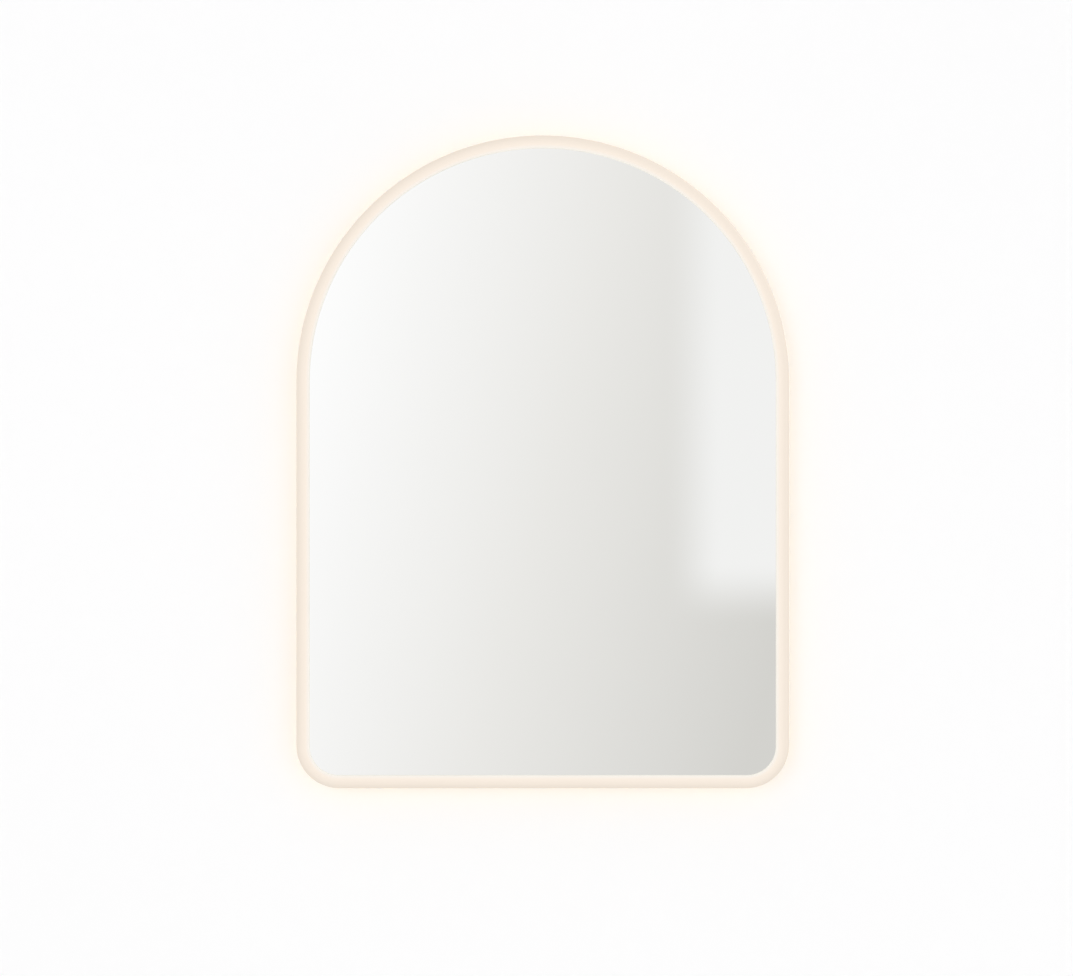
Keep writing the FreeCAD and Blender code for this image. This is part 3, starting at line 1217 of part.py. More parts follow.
def button_lead():
    z = dimmer_left_zs()[0]
    points = [at(DIMMER_LEFT + DIMMER_WALL + LEAD_INSIDE, DIMMER_LEAD_DEPTH, z),
              at(BUTTON_X, DIMMER_LEAD_DEPTH, z),
              at(BUTTON_X, BUTTON_DEPTH, (z + BUTTON_TOP) / 2),
              at(BUTTON_X, BUTTON_DEPTH, BUTTON_TOP - BUTTON_HEAD_WALL)]
    return lead("button_lead", points, LEAD_THIN)


def web_grommet():
    """Rubber ring in the frame's web, round the strip's lead."""
    inner = LEAD_PAIR + LEAD_PLAY
    outer = inner + WEB_GROMMET
    low = BOTTOM + WEB_OUT
    start = at(STRIP_LEAD_X, STRIP_DEPTH, low + FIT)
    sleeve = rod(outer - FIT / 2, start, UP, FRAME_WALL)
    flange = rod(outer + WEB_GROMMET, at(STRIP_LEAD_X, STRIP_DEPTH, BOTTOM + WEB_IN + FIT / 4),
                 UP, WEB_GROMMET_FLANGE)
    middle = drill(inner, at(STRIP_LEAD_X, STRIP_DEPTH, low), UP, FRAME_WALL + WEB_GROMMET_FLANGE)
    return sleeve.fuse(flange).cut(middle).removeSplitter()


def clamp(x, z, radius, centre_depth, along_x):
    """Stuck-on saddle that holds a lead to the tray's floor."""
    half = CLAMP_LENGTH / 2
    reach = radius + LEAD_PLAY + 3 * CLAMP_WALL
    front = centre_depth + radius + LEAD_PLAY + CLAMP_WALL
    spans = (half, reach) if along_x else (reach, half)
    saddle = box((x - spans[0], x + spans[0]), (TRAY_FLOOR, front), (z - spans[1], z + spans[1]))
    direction = RIGHT if along_x else UP
    start = at(x, centre_depth, z) - direction * half
    return saddle.cut(drill(radius + LEAD_PLAY, start, direction, CLAMP_LENGTH))


def lead_clamps():
    drop_x = DRIVER_RIGHT + LEAD_RUN_PAST_DRIVER
    low_z, high_z = dimmer_left_zs()
    spots = [(drop_x, (DRIVER_Z + 3 * DIMMER_Z) / 4, LEAD_PAIR, False),
             ((BUTTON_X + DIMMER_LEFT) / 2, high_z, LEAD_PAIR, True),
             ((BUTTON_X + STRIP_LEAD_X) / 2, high_z, LEAD_PAIR, True)]
    return group([clamp(x, z, r, DIMMER_LEAD_DEPTH, along) for x, z, r, along in spots])


# ---------------------------------------------------------------- all sub-parts
SUBPARTS = {
    "wall_rail": wall_rail,
    "mirror_glass": mirror_glass,
    "backing_film": backing_film,
    "glass_tape": glass_tape,
    "light_band": light_band,
    "frame_profile": frame_profile,
    "frame_splice": frame_splice,
    "splice_screws": splice_screws,
    "led_strip": led_strip,
    "phosphor_bead": phosphor_bead,
    "tray_rim": tray_rim,
    "tray_panel": tray_panel,
    "tray_gasket": tray_gasket,
    "tray_screws": tray_screws,
    "wall_bumpers": wall_bumpers,
    "hanger_rail": hanger_rail,
    "hanger_bar": hanger_bar,
    "hanger_screws": hanger_screws,
    "hanger_nuts": hanger_nuts,
    "wiring_box": wiring_box,
    "box_screws": lambda: mount_screws(box_screw_spots(), BOX_EAR_SHEET),
    "box_nuts": lambda: mount_nuts(box_screw_spots(), BOX_EAR_SHEET),
    "cable_grommet": cable_grommet,
    "lid_bracket": lid_bracket,
    "bracket_rivets": bracket_rivets,
    "lid_pin": lid_pin,
    "wiring_lid": wiring_lid,
    "terminal_block": terminal_block,
    "contact_clips": contact_clips,
    "live_lever": lambda: lever(POLE_Z[0]),
    "neutral_lever": lambda: lever(POLE_Z[1]),
    "earth_lever": lambda: lever(POLE_Z[2]),
    "driver_case": driver_case,
    "driver_lid": driver_lid,
    "driver_board": driver_board,
    "driver_transformer": driver_transformer,
    "driver_capacitors": driver_capacitors,
    "driver_screws": lambda: mount_screws(driver_screw_spots(), DRIVER_EAR_SHEET),
    "driver_nuts": lambda: mount_nuts(driver_screw_spots(), DRIVER_EAR_SHEET),
    "dimmer_case": dimmer_case,
    "dimmer_board": dimmer_board,
    "button_housing": button_housing,
    "button_cap": button_cap,
    "button_spring": button_spring,
    "button_seal": button_seal,
    "button_nut": button_nut,
    "live_lead": live_lead,
    "neutral_lead": neutral_lead,
    "earth_lead": earth_lead,
    "earth_stud": earth_stud,
    "earth_tag": earth_tag,
    "earth_nut": earth_nut,
    "supply_lead": supply_lead,
    "strip_lead": strip_lead,
    "button_lead": button_lead,
    "web_grommet": web_grommet,
    "lead_clamps": lead_clamps,
}

os.makedirs("parts", exist_ok=True)
for node, make in SUBPARTS.items():
    shape = make()
    print(node, "solids", len(shape.Solids), "valid", shape.isValid(), "volume", round(shape.Volume, 2))
    shape.exportStep(os.path.join("parts", node + ".step"))
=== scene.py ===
import math

import bmesh
import bpy
from mathutils import Matrix, Vector


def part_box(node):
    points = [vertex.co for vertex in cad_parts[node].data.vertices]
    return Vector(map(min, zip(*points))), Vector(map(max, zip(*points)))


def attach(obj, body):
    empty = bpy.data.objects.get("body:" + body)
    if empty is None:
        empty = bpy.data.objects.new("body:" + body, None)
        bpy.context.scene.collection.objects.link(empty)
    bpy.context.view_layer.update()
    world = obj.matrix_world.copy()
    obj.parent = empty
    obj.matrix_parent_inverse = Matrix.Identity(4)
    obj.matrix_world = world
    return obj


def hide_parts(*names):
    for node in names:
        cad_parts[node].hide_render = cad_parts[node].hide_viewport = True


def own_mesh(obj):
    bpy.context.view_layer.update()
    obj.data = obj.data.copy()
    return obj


bl_info = {
    "name": "Lighted Bathroom Mirror",
    "version": (1, 0, 0),
    "blender": (4, 5, 0),
    "location": "View3D > Sidebar > Mirror",
    "description": "Dresses the packed model of an arched mirror with a glowing opal band",
    "category": "Object",
}

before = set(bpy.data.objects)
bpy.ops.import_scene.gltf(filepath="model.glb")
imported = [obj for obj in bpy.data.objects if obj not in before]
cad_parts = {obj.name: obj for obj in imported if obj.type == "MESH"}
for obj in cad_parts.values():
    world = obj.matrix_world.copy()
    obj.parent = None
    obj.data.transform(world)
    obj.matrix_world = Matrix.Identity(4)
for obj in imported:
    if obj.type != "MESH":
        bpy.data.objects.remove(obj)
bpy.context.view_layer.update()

BAND_LOW, BAND_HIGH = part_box("light_band")
GLASS_LOW, GLASS_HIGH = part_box("mirror_glass")

HALF_WIDTH = BAND_HIGH.x                     # outer edge of the band, from the middle
BOTTOM = BAND_LOW.z
SPRING_LINE = BAND_HIGH.z - HALF_WIDTH       # where the half-round top begins
CREST = -BAND_LOW.y                          # front of the band, out from the wall
LIP_BACK = -BAND_HIGH.y                      # rear of the band's lip
GLASS_FRONT = -GLASS_LOW.y
GLASS_BACK = -GLASS_HIGH.y
GLASS_INSET = HALF_WIDTH - GLASS_HIGH.x

ARC_STEPS = 96                               # steps round the half-round top
CORNER_STEPS = 20                            # steps round a lower corner
RUN_STEPS = 12                               # steps along a straight side
COIL_STEPS = 28                              # steps in one turn of the spring
WIRE_STEPS = 12                              # steps round its wire
BUMPER_STEPS = 64                            # steps round a wall bumper

FINE_EDGE = 0.0003                           # rounding of the opal cover's inner edges
SOFT_EDGE = 0.0005                           # rounding of its outer edges
SHOULDER_FALL = 0.0007                       # how much lower the shoulder is at the glass
SPARE = 0.00001                              # keeps a rounding from using up its whole edge
MERGE = 1e-6                                 # points closer than this are one point
FACE_RIM = 0.004                             # swept rim of the glass, before its flat face
BUMPER_EDGE = 0.00035                        # rounding of a bumper's rims
RIM_STEP = 0.0015                            # a rim's edges are shorter than this
RIM_ANGLE = 0.5                              # and its faces meet at more than this, in radians
CAN_END = 0.0002                             # bare metal at a capacitor's end
DIE_LINES = 2600.0                           # fineness of the extrusion's die lines
LEAD_BANDS = 2600.0                          # an earth lead's stripes, in radians a metre
WALL_GAP = 0.0006                            # from the part's back to the studio wall
SENSOR = 36.0                                # width of the camera's sensor, in millimetres


# ---------------------------------------------------------------- settings
def length(name, description, default, top=1.0):
    return bpy.props.FloatProperty(name=name, description=description, default=default,
                                   min=0.0, soft_max=top, unit="LENGTH", precision=4)


def colour(name, description, default):
    return bpy.props.FloatVectorProperty(name=name, description=description, default=default,
                                         size=3, min=0.0, max=1.0, subtype="COLOR")


def level(name, description, default, top=2.0):
    return bpy.props.FloatProperty(name=name, description=description, default=default,
                                   min=0.0, soft_max=top)


def screen(red, green, blue):
    """A screen colour, 0 to 255, as the linear colour that a shader takes."""
    def linear(value):
        value = value / 255
        return value / 12.92 if value <= 0.04045 else ((value + 0.055) / 1.055) ** 2.4
    return (linear(red), linear(green), linear(blue))


class MirrorSizes(bpy.types.PropertyGroup):
    corner: length("Corner radius", "Outer edge at the two lower corners", 0.052)
    band_width: length("Band width", "From the outer edge to the glass", 0.0158)
    band_wall: length("Band wall", "Thickness of the opal cover", 0.002)
    band_shoulder: length("Band shoulder", "Flat top between the round and the foot", 0.0018)
    band_lip: length("Band lip", "Width of the rear lip", 0.005)
    band_lip_sheet: length("Band lip thickness", "Thickness of the rear lip", 0.0016)
    band_foot: length("Band foot depth", "From the crest down to the foot", 0.0071)
    glass_arris: length("Glass arris", "Ground edge of the glass", 0.0008)
    spring_wire: length("Spring wire radius", "Return spring of the push button", 0.00025, 0.001)
    spring_turns: bpy.props.IntProperty(
        name="Spring turns", description="Turns of the return spring", default=5, min=2, max=12)
    button_travel: length("Button travel", "How far the push button goes in", 0.0015, 0.005)
    pad_recess: length("Bumper recess radius", "Hollow in the face of a wall bumper", 0.0034)


class MirrorColours(bpy.types.PropertyGroup):
    band_inner: colour("Band, inner", "Opal beside the glass", screen(252, 246, 238))
    band_middle: colour("Band, middle", "Opal on top of the round", screen(250, 238, 225))
    # outer-edge tone: darker partly as painted shade where the band's round turns away
    band_outer_shaded: colour("Band, outer", "Opal at the outer edge", screen(240, 228, 214))
    glow: colour("Glow", "Light that the rear lip throws on the wall", (1.0, 0.76, 0.35))
    silver: colour("Silvering", "Tint of the reflection", (0.985, 0.987, 0.985))
    glass_edge: colour("Glass edge", "Polished edge of the glass", (0.62, 0.76, 0.71))
    powder_coat: colour("Powder coat", "Rear tray", (0.74, 0.74, 0.725))
    galvanised: colour("Galvanised steel", "Wall rail and hanger rail", (0.56, 0.575, 0.59))
    zinc: colour("Zinc plate", "Screws, nuts and bracket", (0.58, 0.59, 0.60))
    anodised: colour("Anodised aluminium", "Frame extrusion and splice", (0.70, 0.70, 0.71))
    rubber: colour("Rubber", "Bumpers, grommets and seal", (0.022, 0.022, 0.023))
    moulded: colour("Moulded white", "Boxes, cases and lids", (0.80, 0.80, 0.775))


class StudioSettings(bpy.types.PropertyGroup):
    camera_distance: length("Camera distance", "From the wall to the camera", 4.045, 10.0)
    camera_x: bpy.props.FloatProperty(
        name="Camera across", description="Camera's place along X", default=-0.0076, unit="LENGTH")
    camera_z: bpy.props.FloatProperty(
        name="Camera height", description="Camera's place along Z", default=-0.2445, unit="LENGTH")
    lens: level("Lens", "Focal length in millimetres", 110.5, 200.0)
    floor_drop: length("Floor", "Floor below the wall screws", 1.45, 3.0)
    soft_light: level("Soft light", "Even light from all round", 0.916)
    key_power: level("Key lamp", "Power in watts", 26.0, 100.0)
    fill_power: level("Fill lamp", "Power in watts", 12.0, 100.0)


def sizes():
    return bpy.context.scene.mirror_sizes


def colours():
    return bpy.context.scene.mirror_colours


def studio():
    return bpy.context.scene.mirror_studio


# ---------------------------------------------------------------- mesh helpers
def section_loop(corners):
    """A closed cross-section at the bottom's middle, from corners given as
    (inset, depth, rounding, steps)."""
    bm = bmesh.new()
    verts = [bm.verts.new((0, -depth, BOTTOM + inset)) for inset, depth, rounding, steps in corners]
    bm.faces.new(verts)
    for vert, (inset, depth, rounding, steps) in zip(verts, corners):
        if rounding:
            bmesh.ops.bevel(bm, geom=[vert], offset=rounding, offset_type="OFFSET",
                            affect="VERTICES", segments=steps, profile=0.5, material=-1)
    bm.faces.ensure_lookup_table()
    loop = [v.co.copy() for v in bm.faces[0].verts]
    bm.free()
    return loop


def ordered_from(loop, start):
    """The loop's points, from the one nearest to start."""
    first = min(range(len(loop)), key=lambda i: (loop[i] - start).length)
    return loop[first:] + loop[:first]


def walked_along(points):
    """How far each point is from the first, along the points."""
    walked = [0.0]
    for before, after in zip(points, points[1:]):
        walked.append(walked[-1] + (after - before).length)
    return walked


def only(kind, geometry):
    """The elements of one kind: vertices, edges or faces."""
    return [g for g in geometry if isinstance(g, kind)]


def sweep(loop, start, closed=True):
    """Sweeps a cross-section once round the mirror's outline, as a mesh with the distance
    across the section in the attribute "across"."""
    bm = bmesh.new()
    across = bm.verts.layers.float.new("across")
    ordered = ordered_from(loop, start)
    verts = [bm.verts.new(point) for point in ordered]
    for vert, walked in zip(verts, walked_along(ordered)):
        vert[across] = walked
    pairs = zip(verts, verts[1:] + verts[:1]) if closed else zip(verts, verts[1:])
    ring = verts + [bm.edges.new(pair) for pair in pairs]

    def move_on(made):
        nonlocal ring
        ring = [g for g in made if not isinstance(g, bmesh.types.BMFace)]

    def run(x, z, steps):
        step = Vector((x, 0, z)) / steps
        for i in range(steps):
            edges = only(bmesh.types.BMEdge, ring)
            made = bmesh.ops.extrude_edge_only(bm, edges=edges)["geom"]
            bmesh.ops.translate(bm, verts=only(bmesh.types.BMVert, made), vec=step)
            move_on(made)

    def turn(x, z, angle, steps):
        for i in range(steps):
            made = bmesh.ops.spin(bm, geom=ring, cent=(x, 0, z), axis=(0, -1, 0), dvec=(0, 0, 0),
                                  angle=angle / steps, steps=1, use_merge=False,
                                  use_normal_flip=False, use_duplicate=False)
            move_on(made["geom_last"])

    corner = sizes().corner
    flat = HALF_WIDTH - corner
    rise = SPRING_LINE - BOTTOM - corner
    run(flat, 0, RUN_STEPS // 2)
    turn(flat, BOTTOM + corner, math.pi / 2, CORNER_STEPS)
    run(0, rise, RUN_STEPS)
    turn(0, SPRING_LINE, math.pi, ARC_STEPS)
    run(0, -rise, RUN_STEPS)
    turn(-flat, BOTTOM + corner, math.pi / 2, CORNER_STEPS)
    run(flat, 0, RUN_STEPS // 2)
    bmesh.ops.remove_doubles(bm, verts=bm.verts, dist=MERGE)
    return bm


def piece(name, bm, body, materials, sharp, replaced):
    """Turns a bmesh into a finished piece that rides on a body. Edges that turn by more than
    sharp, in degrees, stay crisp."""
    mesh = bpy.data.meshes.new(name)
    bm.to_mesh(mesh)
    bm.free()
    mesh.shade_smooth()
    mesh.set_sharp_from_angle(angle=math.radians(sharp))
    for material in materials:
        mesh.materials.append(material)
    obj = bpy.data.objects.new(name, mesh)
    bpy.context.scene.collection.objects.link(obj)
    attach(obj, body)
    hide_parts(*replaced)
    return obj


def dress(names, material):
    """Gives CAD nodes a finish."""
    for name in names:
        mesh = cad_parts[name].data
        mesh.materials.clear()
        mesh.materials.append(material)


# ---------------------------------------------------------------- material helpers
class Nodes:
    """A node tree being made."""

    def __init__(self, tree):
        self.tree = tree

    def node(self, kind, attributes=None, **inputs):
        made = self.tree.nodes.new(kind)
        for key, value in (attributes or {}).items():
            setattr(made, key, value)
        for key, value in inputs.items():
            self.feed(made.inputs[key.replace("_", " ")], value)
        return made

    def feed(self, socket, value):
        if isinstance(value, bpy.types.NodeSocket):
            self.tree.links.new(value, socket)
        else:
            if hasattr(value, "__len__") and len(value) == 3 and socket.type == "RGBA":
                value = (*value, 1.0)
            socket.default_value = value

    def feed_all(self, made, values):
        for index, value in values.items():
            self.feed(made.inputs[index], value)

    def math(self, operation, first, second=0.0):
        made = self.node("ShaderNodeMath", {"operation": operation})
        self.feed_all(made, {0: first, 1: second})
        return made.outputs[0]

    def mix(self, factor, first, second, kind="MIX"):
        made = self.node("ShaderNodeMix", {"data_type": "RGBA", "blend_type": kind})
        self.feed_all(made, {0: factor, 6: first, 7: second})
        return made.outputs[2]

    def times(self, first, second):
        return self.mix(1.0, first, second, "MULTIPLY")

    def spread(self, value, low, high, to_low=0.0, to_high=1.0, kind="LINEAR"):
        """Maps one range on to another, held at its ends."""
        made = self.node("ShaderNodeMapRange", {"clamp": True, "interpolation_type": kind})
        self.feed_all(made, dict(enumerate((value, low, high, to_low, to_high))))
        return made.outputs[0]

    def ramp(self, factor, stops):
        made = self.node("ShaderNodeValToRGB", Fac=factor)
        ramp = made.color_ramp.elements
        while len(ramp) < len(stops):
            ramp.new(1.0)
        for element, (position, value) in zip(ramp, stops):
            element.position = position
            element.color = (*value, 1.0) if hasattr(value, "__len__") else (*(value,) * 3, 1.0)
        return made.outputs[0]


class Finish(Nodes):
    """A material being made: its nodes and the shader that they feed."""

    def __init__(self, name, **settings):
        self.material = bpy.data.materials.new(name)
        self.material.use_nodes = True
        super().__init__(self.material.node_tree)
        self.shader = self.tree.nodes["Principled BSDF"]
        self.place = self.node("ShaderNodeTexCoord").outputs["Object"]
        for socket, value in settings.items():
            self.set(socket.replace("_", " "), value)

    def set(self, socket, value):
        self.feed(self.shader.inputs[socket], value)

    def paint(self, value, stops):
        """Base colour that follows a pattern."""
        self.set("Base Color", self.ramp(value, stops))

    def rough(self, value, to_low, to_high, low=0.3, high=0.7):
        """Roughness that follows a pattern."""
        self.set("Roughness", self.spread(value, low, high, to_low, to_high))

    def bump(self, height, distance, strength=1.0, under=None):
        """Relief that follows a pattern, over the relief under it."""
        made = self.node("ShaderNodeBump", Height=height, Distance=distance, Strength=strength)
        if under is not None:
            self.feed(made.inputs["Normal"], under)
        self.set("Normal", made.outputs[0])
        return made.outputs[0]

    def axis(self, index):
        """The piece's own X, Y or Z."""
        return self.node("ShaderNodeSeparateXYZ", Vector=self.place).outputs[index]

    def scaled(self, scale, turn=(0, 0, 0)):
        """The piece's own coordinates, stretched and turned."""
        made = self.node("ShaderNodeMapping", Vector=self.place, Scale=scale, Rotation=turn)
        return made.outputs[0]

    def noise(self, scale, detail=2.0, roughness=0.5, vector=None):
        return self.node("ShaderNodeTexNoise", Vector=vector or self.place, Scale=scale,
                         Detail=detail, Roughness=roughness).outputs[0]

    def cells(self, scale, output=0, randomness=1.0):
        return self.node("ShaderNodeTexVoronoi", {"feature": "F1"}, Vector=self.place,
                         Scale=scale, Randomness=randomness).outputs[output]

    def see_through(self, factor):
        """Clears the surface away where the factor is 1."""
        both = self.node("ShaderNodeMixShader")
        clear = self.node("ShaderNodeBsdfTransparent").outputs[0]
        self.feed_all(both, {0: factor, 1: self.shader.outputs[0], 2: clear})
        self.feed(self.tree.nodes["Material Output"].inputs["Surface"], both.outputs[0])


def tinted(rgb, share):
    """The colour made lighter or darker."""
    return tuple(min(1.0, value * share) for value in rgb)


def inset_nodes(finish):
    """How far in from the band's outer edge a point of the surface lies, in metres."""
    corner = sizes().corner

    def less(first, second):
        return finish.math("SUBTRACT", first, second)

    def far(first, second):
        squares = [finish.math("MULTIPLY", value, value) for value in (first, second)]
        return finish.math("SQRT", finish.math("ADD", *squares))

    x, z = finish.axis(0), finish.axis(2)
    above = finish.math("MAXIMUM", less(z, SPRING_LINE), 0.0)
    from_top = less(HALF_WIDTH, far(x, above))
    side = less(finish.math("ABSOLUTE", x), HALF_WIDTH - corner)
    low = less(BOTTOM + corner, z)
    outer = far(finish.math("MAXIMUM", side, 0.0), finish.math("MAXIMUM", low, 0.0))
    inner = finish.math("MINIMUM", finish.math("MAXIMUM", side, low), 0.0)
    from_low = less(corner, finish.math("ADD", outer, inner))
    return finish.math("MINIMUM", from_top, from_low)


# ---------------------------------------------------------------- light band
def opal_finish(around):
    """Opal acrylic lit from inside, creamy by the glass and warmer at the outer edge, which is
    darker partly from the glow's fall-off and partly from painted shade where the round turns away.
    Its look follows the way across the section, at the shares given in around."""
    c = colours()
    shoulder, crest, rim, side, lip, lip_end = (
        around[mark] for mark in ("shoulder", "crest", "rim", "side", "lip", "lip_end"))
    finish = Finish("opal_band", IOR=1.49, Specular_IOR_Level=0.02, Emission_Strength=4.2)
    across = finish.node("ShaderNodeAttribute", {"attribute_name": "across"}).outputs["Fac"]
    cloud = finish.math("SUBTRACT", finish.noise(9.0, 3.0, 0.55), 0.5)
    share = finish.math("ADD", finish.math("DIVIDE", across, around["length"]),
                        finish.math("MULTIPLY", cloud, 0.018))
    inner, middle, outer = tuple(c.band_inner), tuple(c.band_middle), tuple(c.band_outer_shaded)
    # look darkens from the crest to the outer rim: partly the glow's fall-off, partly painted shade
    # where the round turns away
    look = finish.ramp(share, [(0.0, inner), (shoulder, inner), (crest, middle), (rim, outer),
                               (lip, outer)])
    warm = finish.ramp(share, [(rim, 1.0), (side, (1.0, 0.92, 0.80)), (lip, tuple(c.glow))])
    light = finish.ramp(share, [(0.0, 0.24), (shoulder, 0.11), (rim, 0.152), (side, 0.24),
                                (lip, 0.56), (lip_end, 0.92), (1.0, 0.1)])
    finish.set("Emission Color", finish.times(finish.times(look, warm), light))
    # base colour darker towards the rim: painted shade where the round turns away from the light
    finish.set("Base Color", finish.times(look, finish.ramp(share, [(crest, 0.5), (rim, 0.28)])))
    grain = finish.noise(900.0, 2.0, 0.6)
    finish.rough(grain, 0.44, 0.54)
    finish.bump(grain, 0.00002, 0.25)
    return finish.material


class MIRROR_OT_light_band(bpy.types.Operator):
    """Opal cover, swept round the mirror: rear lip, side, quarter round, shoulder and foot"""
    bl_idname = "mirror.light_band"
    bl_label = "Light Band"

    def execute(self, context):
        s = sizes()
        width, wall, lip = s.band_width, s.band_wall, s.band_lip
        round_out = width - wall - s.band_shoulder
        foot, foot_in = CREST - s.band_foot, width - wall
        lip_front = LIP_BACK + s.band_lip_sheet
        loop = section_loop([
            (width, foot, FINE_EDGE, 2), (width, CREST - SHOULDER_FALL, SOFT_EDGE, 4),
            (round_out, CREST, 0.0, 0), (0.0, CREST, round_out - SPARE, 24),
            (0.0, LIP_BACK, SOFT_EDGE, 4), (lip, LIP_BACK, FINE_EDGE, 2),
            (lip, lip_front, FINE_EDGE, 2), (wall, lip_front, 0.0, 0),
            (wall, CREST - wall, round_out - wall, 12),
            (foot_in, CREST - wall, 0.0, 0), (foot_in, foot, FINE_EDGE, 2)])
        start = Vector((0, -foot, BOTTOM + width))
        bm = sweep(loop, start)
        bmesh.ops.recalc_face_normals(bm, faces=bm.faces)
        opal = opal_finish(section_marks(ordered_from(loop, start), round_out))
        piece("opal_band", bm, "mirror_body", [opal], sharp=40.0,
              replaced=("light_band",))
        return {"FINISHED"}


def section_marks(points, round_out):
    """Shares of the way round the band's section at which its look changes, and its length."""
    s = sizes()
    walked = walked_along(points)

    def share(inset, depth):
        spot = Vector((0, -depth, BOTTOM + inset))
        index = min(range(len(points)), key=lambda i: (points[i] - spot).length)
        return walked[index] / walked[-1]
    return {"length": walked[-1],
            "shoulder": share(s.band_width, CREST), "crest": share(round_out, CREST),
            "rim": share(0.0, CREST - round_out), "side": share(0.0, LIP_BACK + SOFT_EDGE),
            "lip": share(SOFT_EDGE, LIP_BACK), "lip_end": share(s.band_lip, LIP_BACK)}


# ---------------------------------------------------------------- mirror glass
def silver_finish():
    """Silvered float glass: a clean reflection with the faintest unevenness."""
    finish = Finish("silvered_glass", Metallic=1.0, Specular_IOR_Level=0.5)
    haze = finish.noise(5.0, 4.0, 0.6)
    silver = tuple(colours().silver)
    finish.paint(haze, [(0.3, tinted(silver, 0.995)), (0.7, silver)])
    finish.rough(finish.noise(22.0, 3.0), 0.0, 0.012, 0.35, 0.75)
    return finish.material


def glass_edge_finish():
    """Ground and polished edge of the glass, slightly green."""
    edge = tuple(colours().glass_edge)
    finish = Finish("glass_edge", Roughness=0.12, IOR=1.52, Coat_Weight=0.6, Coat_Roughness=0.05)
    through = finish.spread(finish.axis(1), -GLASS_FRONT, -GLASS_BACK)
    finish.paint(through, [(0.0, tinted(edge, 1.25)), (0.45, edge), (1.0, tinted(edge, 0.7))])
    lines = finish.noise(260.0, 3.0, 0.6, finish.scaled((0.2, 6.0, 0.2)))
    finish.rough(lines, 0.08, 0.2)
    finish.bump(lines, 0.00002, 0.2)
    return finish.material


class MIRROR_OT_glass(bpy.types.Operator):
    """Silvered glass with a ground arris along both edges"""
    bl_idname = "mirror.glass"
    bl_label = "Mirror Glass"

    def execute(self, context):
        arris = sizes().glass_arris
        inner = GLASS_INSET + FACE_RIM
        rim = [(inner, GLASS_FRONT), (GLASS_INSET + arris, GLASS_FRONT),
               (GLASS_INSET, GLASS_FRONT - arris), (GLASS_INSET, GLASS_BACK + arris),
               (GLASS_INSET + arris, GLASS_BACK), (inner, GLASS_BACK)]
        points = [Vector((0, -depth, BOTTOM + inset)) for inset, depth in rim]
        bm = sweep(points, points[0], closed=False)
        for depth in (GLASS_FRONT, GLASS_BACK):
            border = [e for e in bm.edges
                      if e.is_boundary and all(abs(v.co.y + depth) < MERGE for v in e.verts)]
            bmesh.ops.contextual_create(bm, geom=border)
        bmesh.ops.recalc_face_normals(bm, faces=bm.faces)
        for face in bm.faces:
            silvered = face.normal.y < -0.5 or face.normal.y > 0.99      # front, its arris, back
            face.material_index = 0 if silvered else 1
        piece("silvered_mirror", bm, "mirror_body",
              [silver_finish(), glass_edge_finish()], sharp=20.0, replaced=("mirror_glass",))
        return {"FINISHED"}


# ---------------------------------------------------------------- wall bumpers
def rubber_finish(name, shade=1.0, shine=0.62):
    """Moulded rubber with a little dust."""
    finish = Finish(name, IOR=1.5, Sheen_Weight=0.12, Sheen_Roughness=0.5)
    base = tuple(colours().rubber)
    dust = finish.noise(60.0, 4.0, 0.65)
    finish.paint(dust, [(0.35, tinted(base, shade)), (0.75, tinted(base, shade * 2.2))])
    finish.rough(finish.noise(240.0, 3.0), shine - 0.08, shine + 0.12)
    finish.bump(finish.noise(2600.0, 2.0, 0.6), 0.00003, 0.5)
    return finish.material


class MIRROR_OT_bumpers(bpy.types.Operator):
    """Two rubber bumpers that hold the lower edge off the wall"""
    bl_idname = "mirror.bumpers"
    bl_label = "Wall Bumpers"

    def execute(self, context):
        low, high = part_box("wall_bumpers")
        base = (high.z - low.z) / 2
        height = high.y - low.y
        middle_z = (low.z + high.z) / 2
        recess = sizes().pad_recess
        outline = [                                  # (radius, height) from the face's middle
            (0.0, height * 0.55), (recess * 0.55, height * 0.55), (recess * 0.6, height * 0.7),
            (recess, height * 0.7), (recess, height), (base * 0.8, height),
            (base * 0.86, height * 0.42), (base, height * 0.28), (base, 0.0), (0.0, 0.0)]
        bm = bmesh.new()
        verts = [bm.verts.new((radius, low.y + up, 0)) for radius, up in outline]
        edges = [bm.edges.new(pair) for pair in zip(verts, verts[1:])]
        bmesh.ops.spin(bm, geom=verts + edges, cent=(0, 0, 0), axis=(0, 1, 0), dvec=(0, 0, 0),
                       angle=math.tau, steps=BUMPER_STEPS, use_merge=True, use_duplicate=False)
        bmesh.ops.remove_doubles(bm, verts=bm.verts, dist=MERGE)
        bmesh.ops.recalc_face_normals(bm, faces=bm.faces)
        rims = []
        for edge in bm.edges:
            first, second = (vert.co for vert in edge.verts)
            on_rim = abs(first.y - second.y) < MERGE and (first - second).length < RIM_STEP
            if on_rim and len(edge.link_faces) == 2 and edge.calc_face_angle(0.0) > RIM_ANGLE:
                rims.append(edge)
        bmesh.ops.bevel(bm, geom=rims, offset=BUMPER_EDGE, offset_type="OFFSET", affect="EDGES",
                        segments=3, profile=0.5, material=-1, clamp_overlap=True)
        bmesh.ops.translate(bm, verts=bm.verts, vec=(high.x - base, 0, middle_z))
        copy = bmesh.ops.duplicate(bm, geom=bm.verts[:] + bm.edges[:] + bm.faces[:])["geom"]
        bmesh.ops.translate(bm, verts=only(bmesh.types.BMVert, copy),
                            vec=(low.x + base - (high.x - base), 0, 0))
        piece("rubber_bumpers", bm, "mirror_body",
              [rubber_finish("bumper_rubber", 1.4)], sharp=35.0, replaced=("wall_bumpers",))
        return {"FINISHED"}


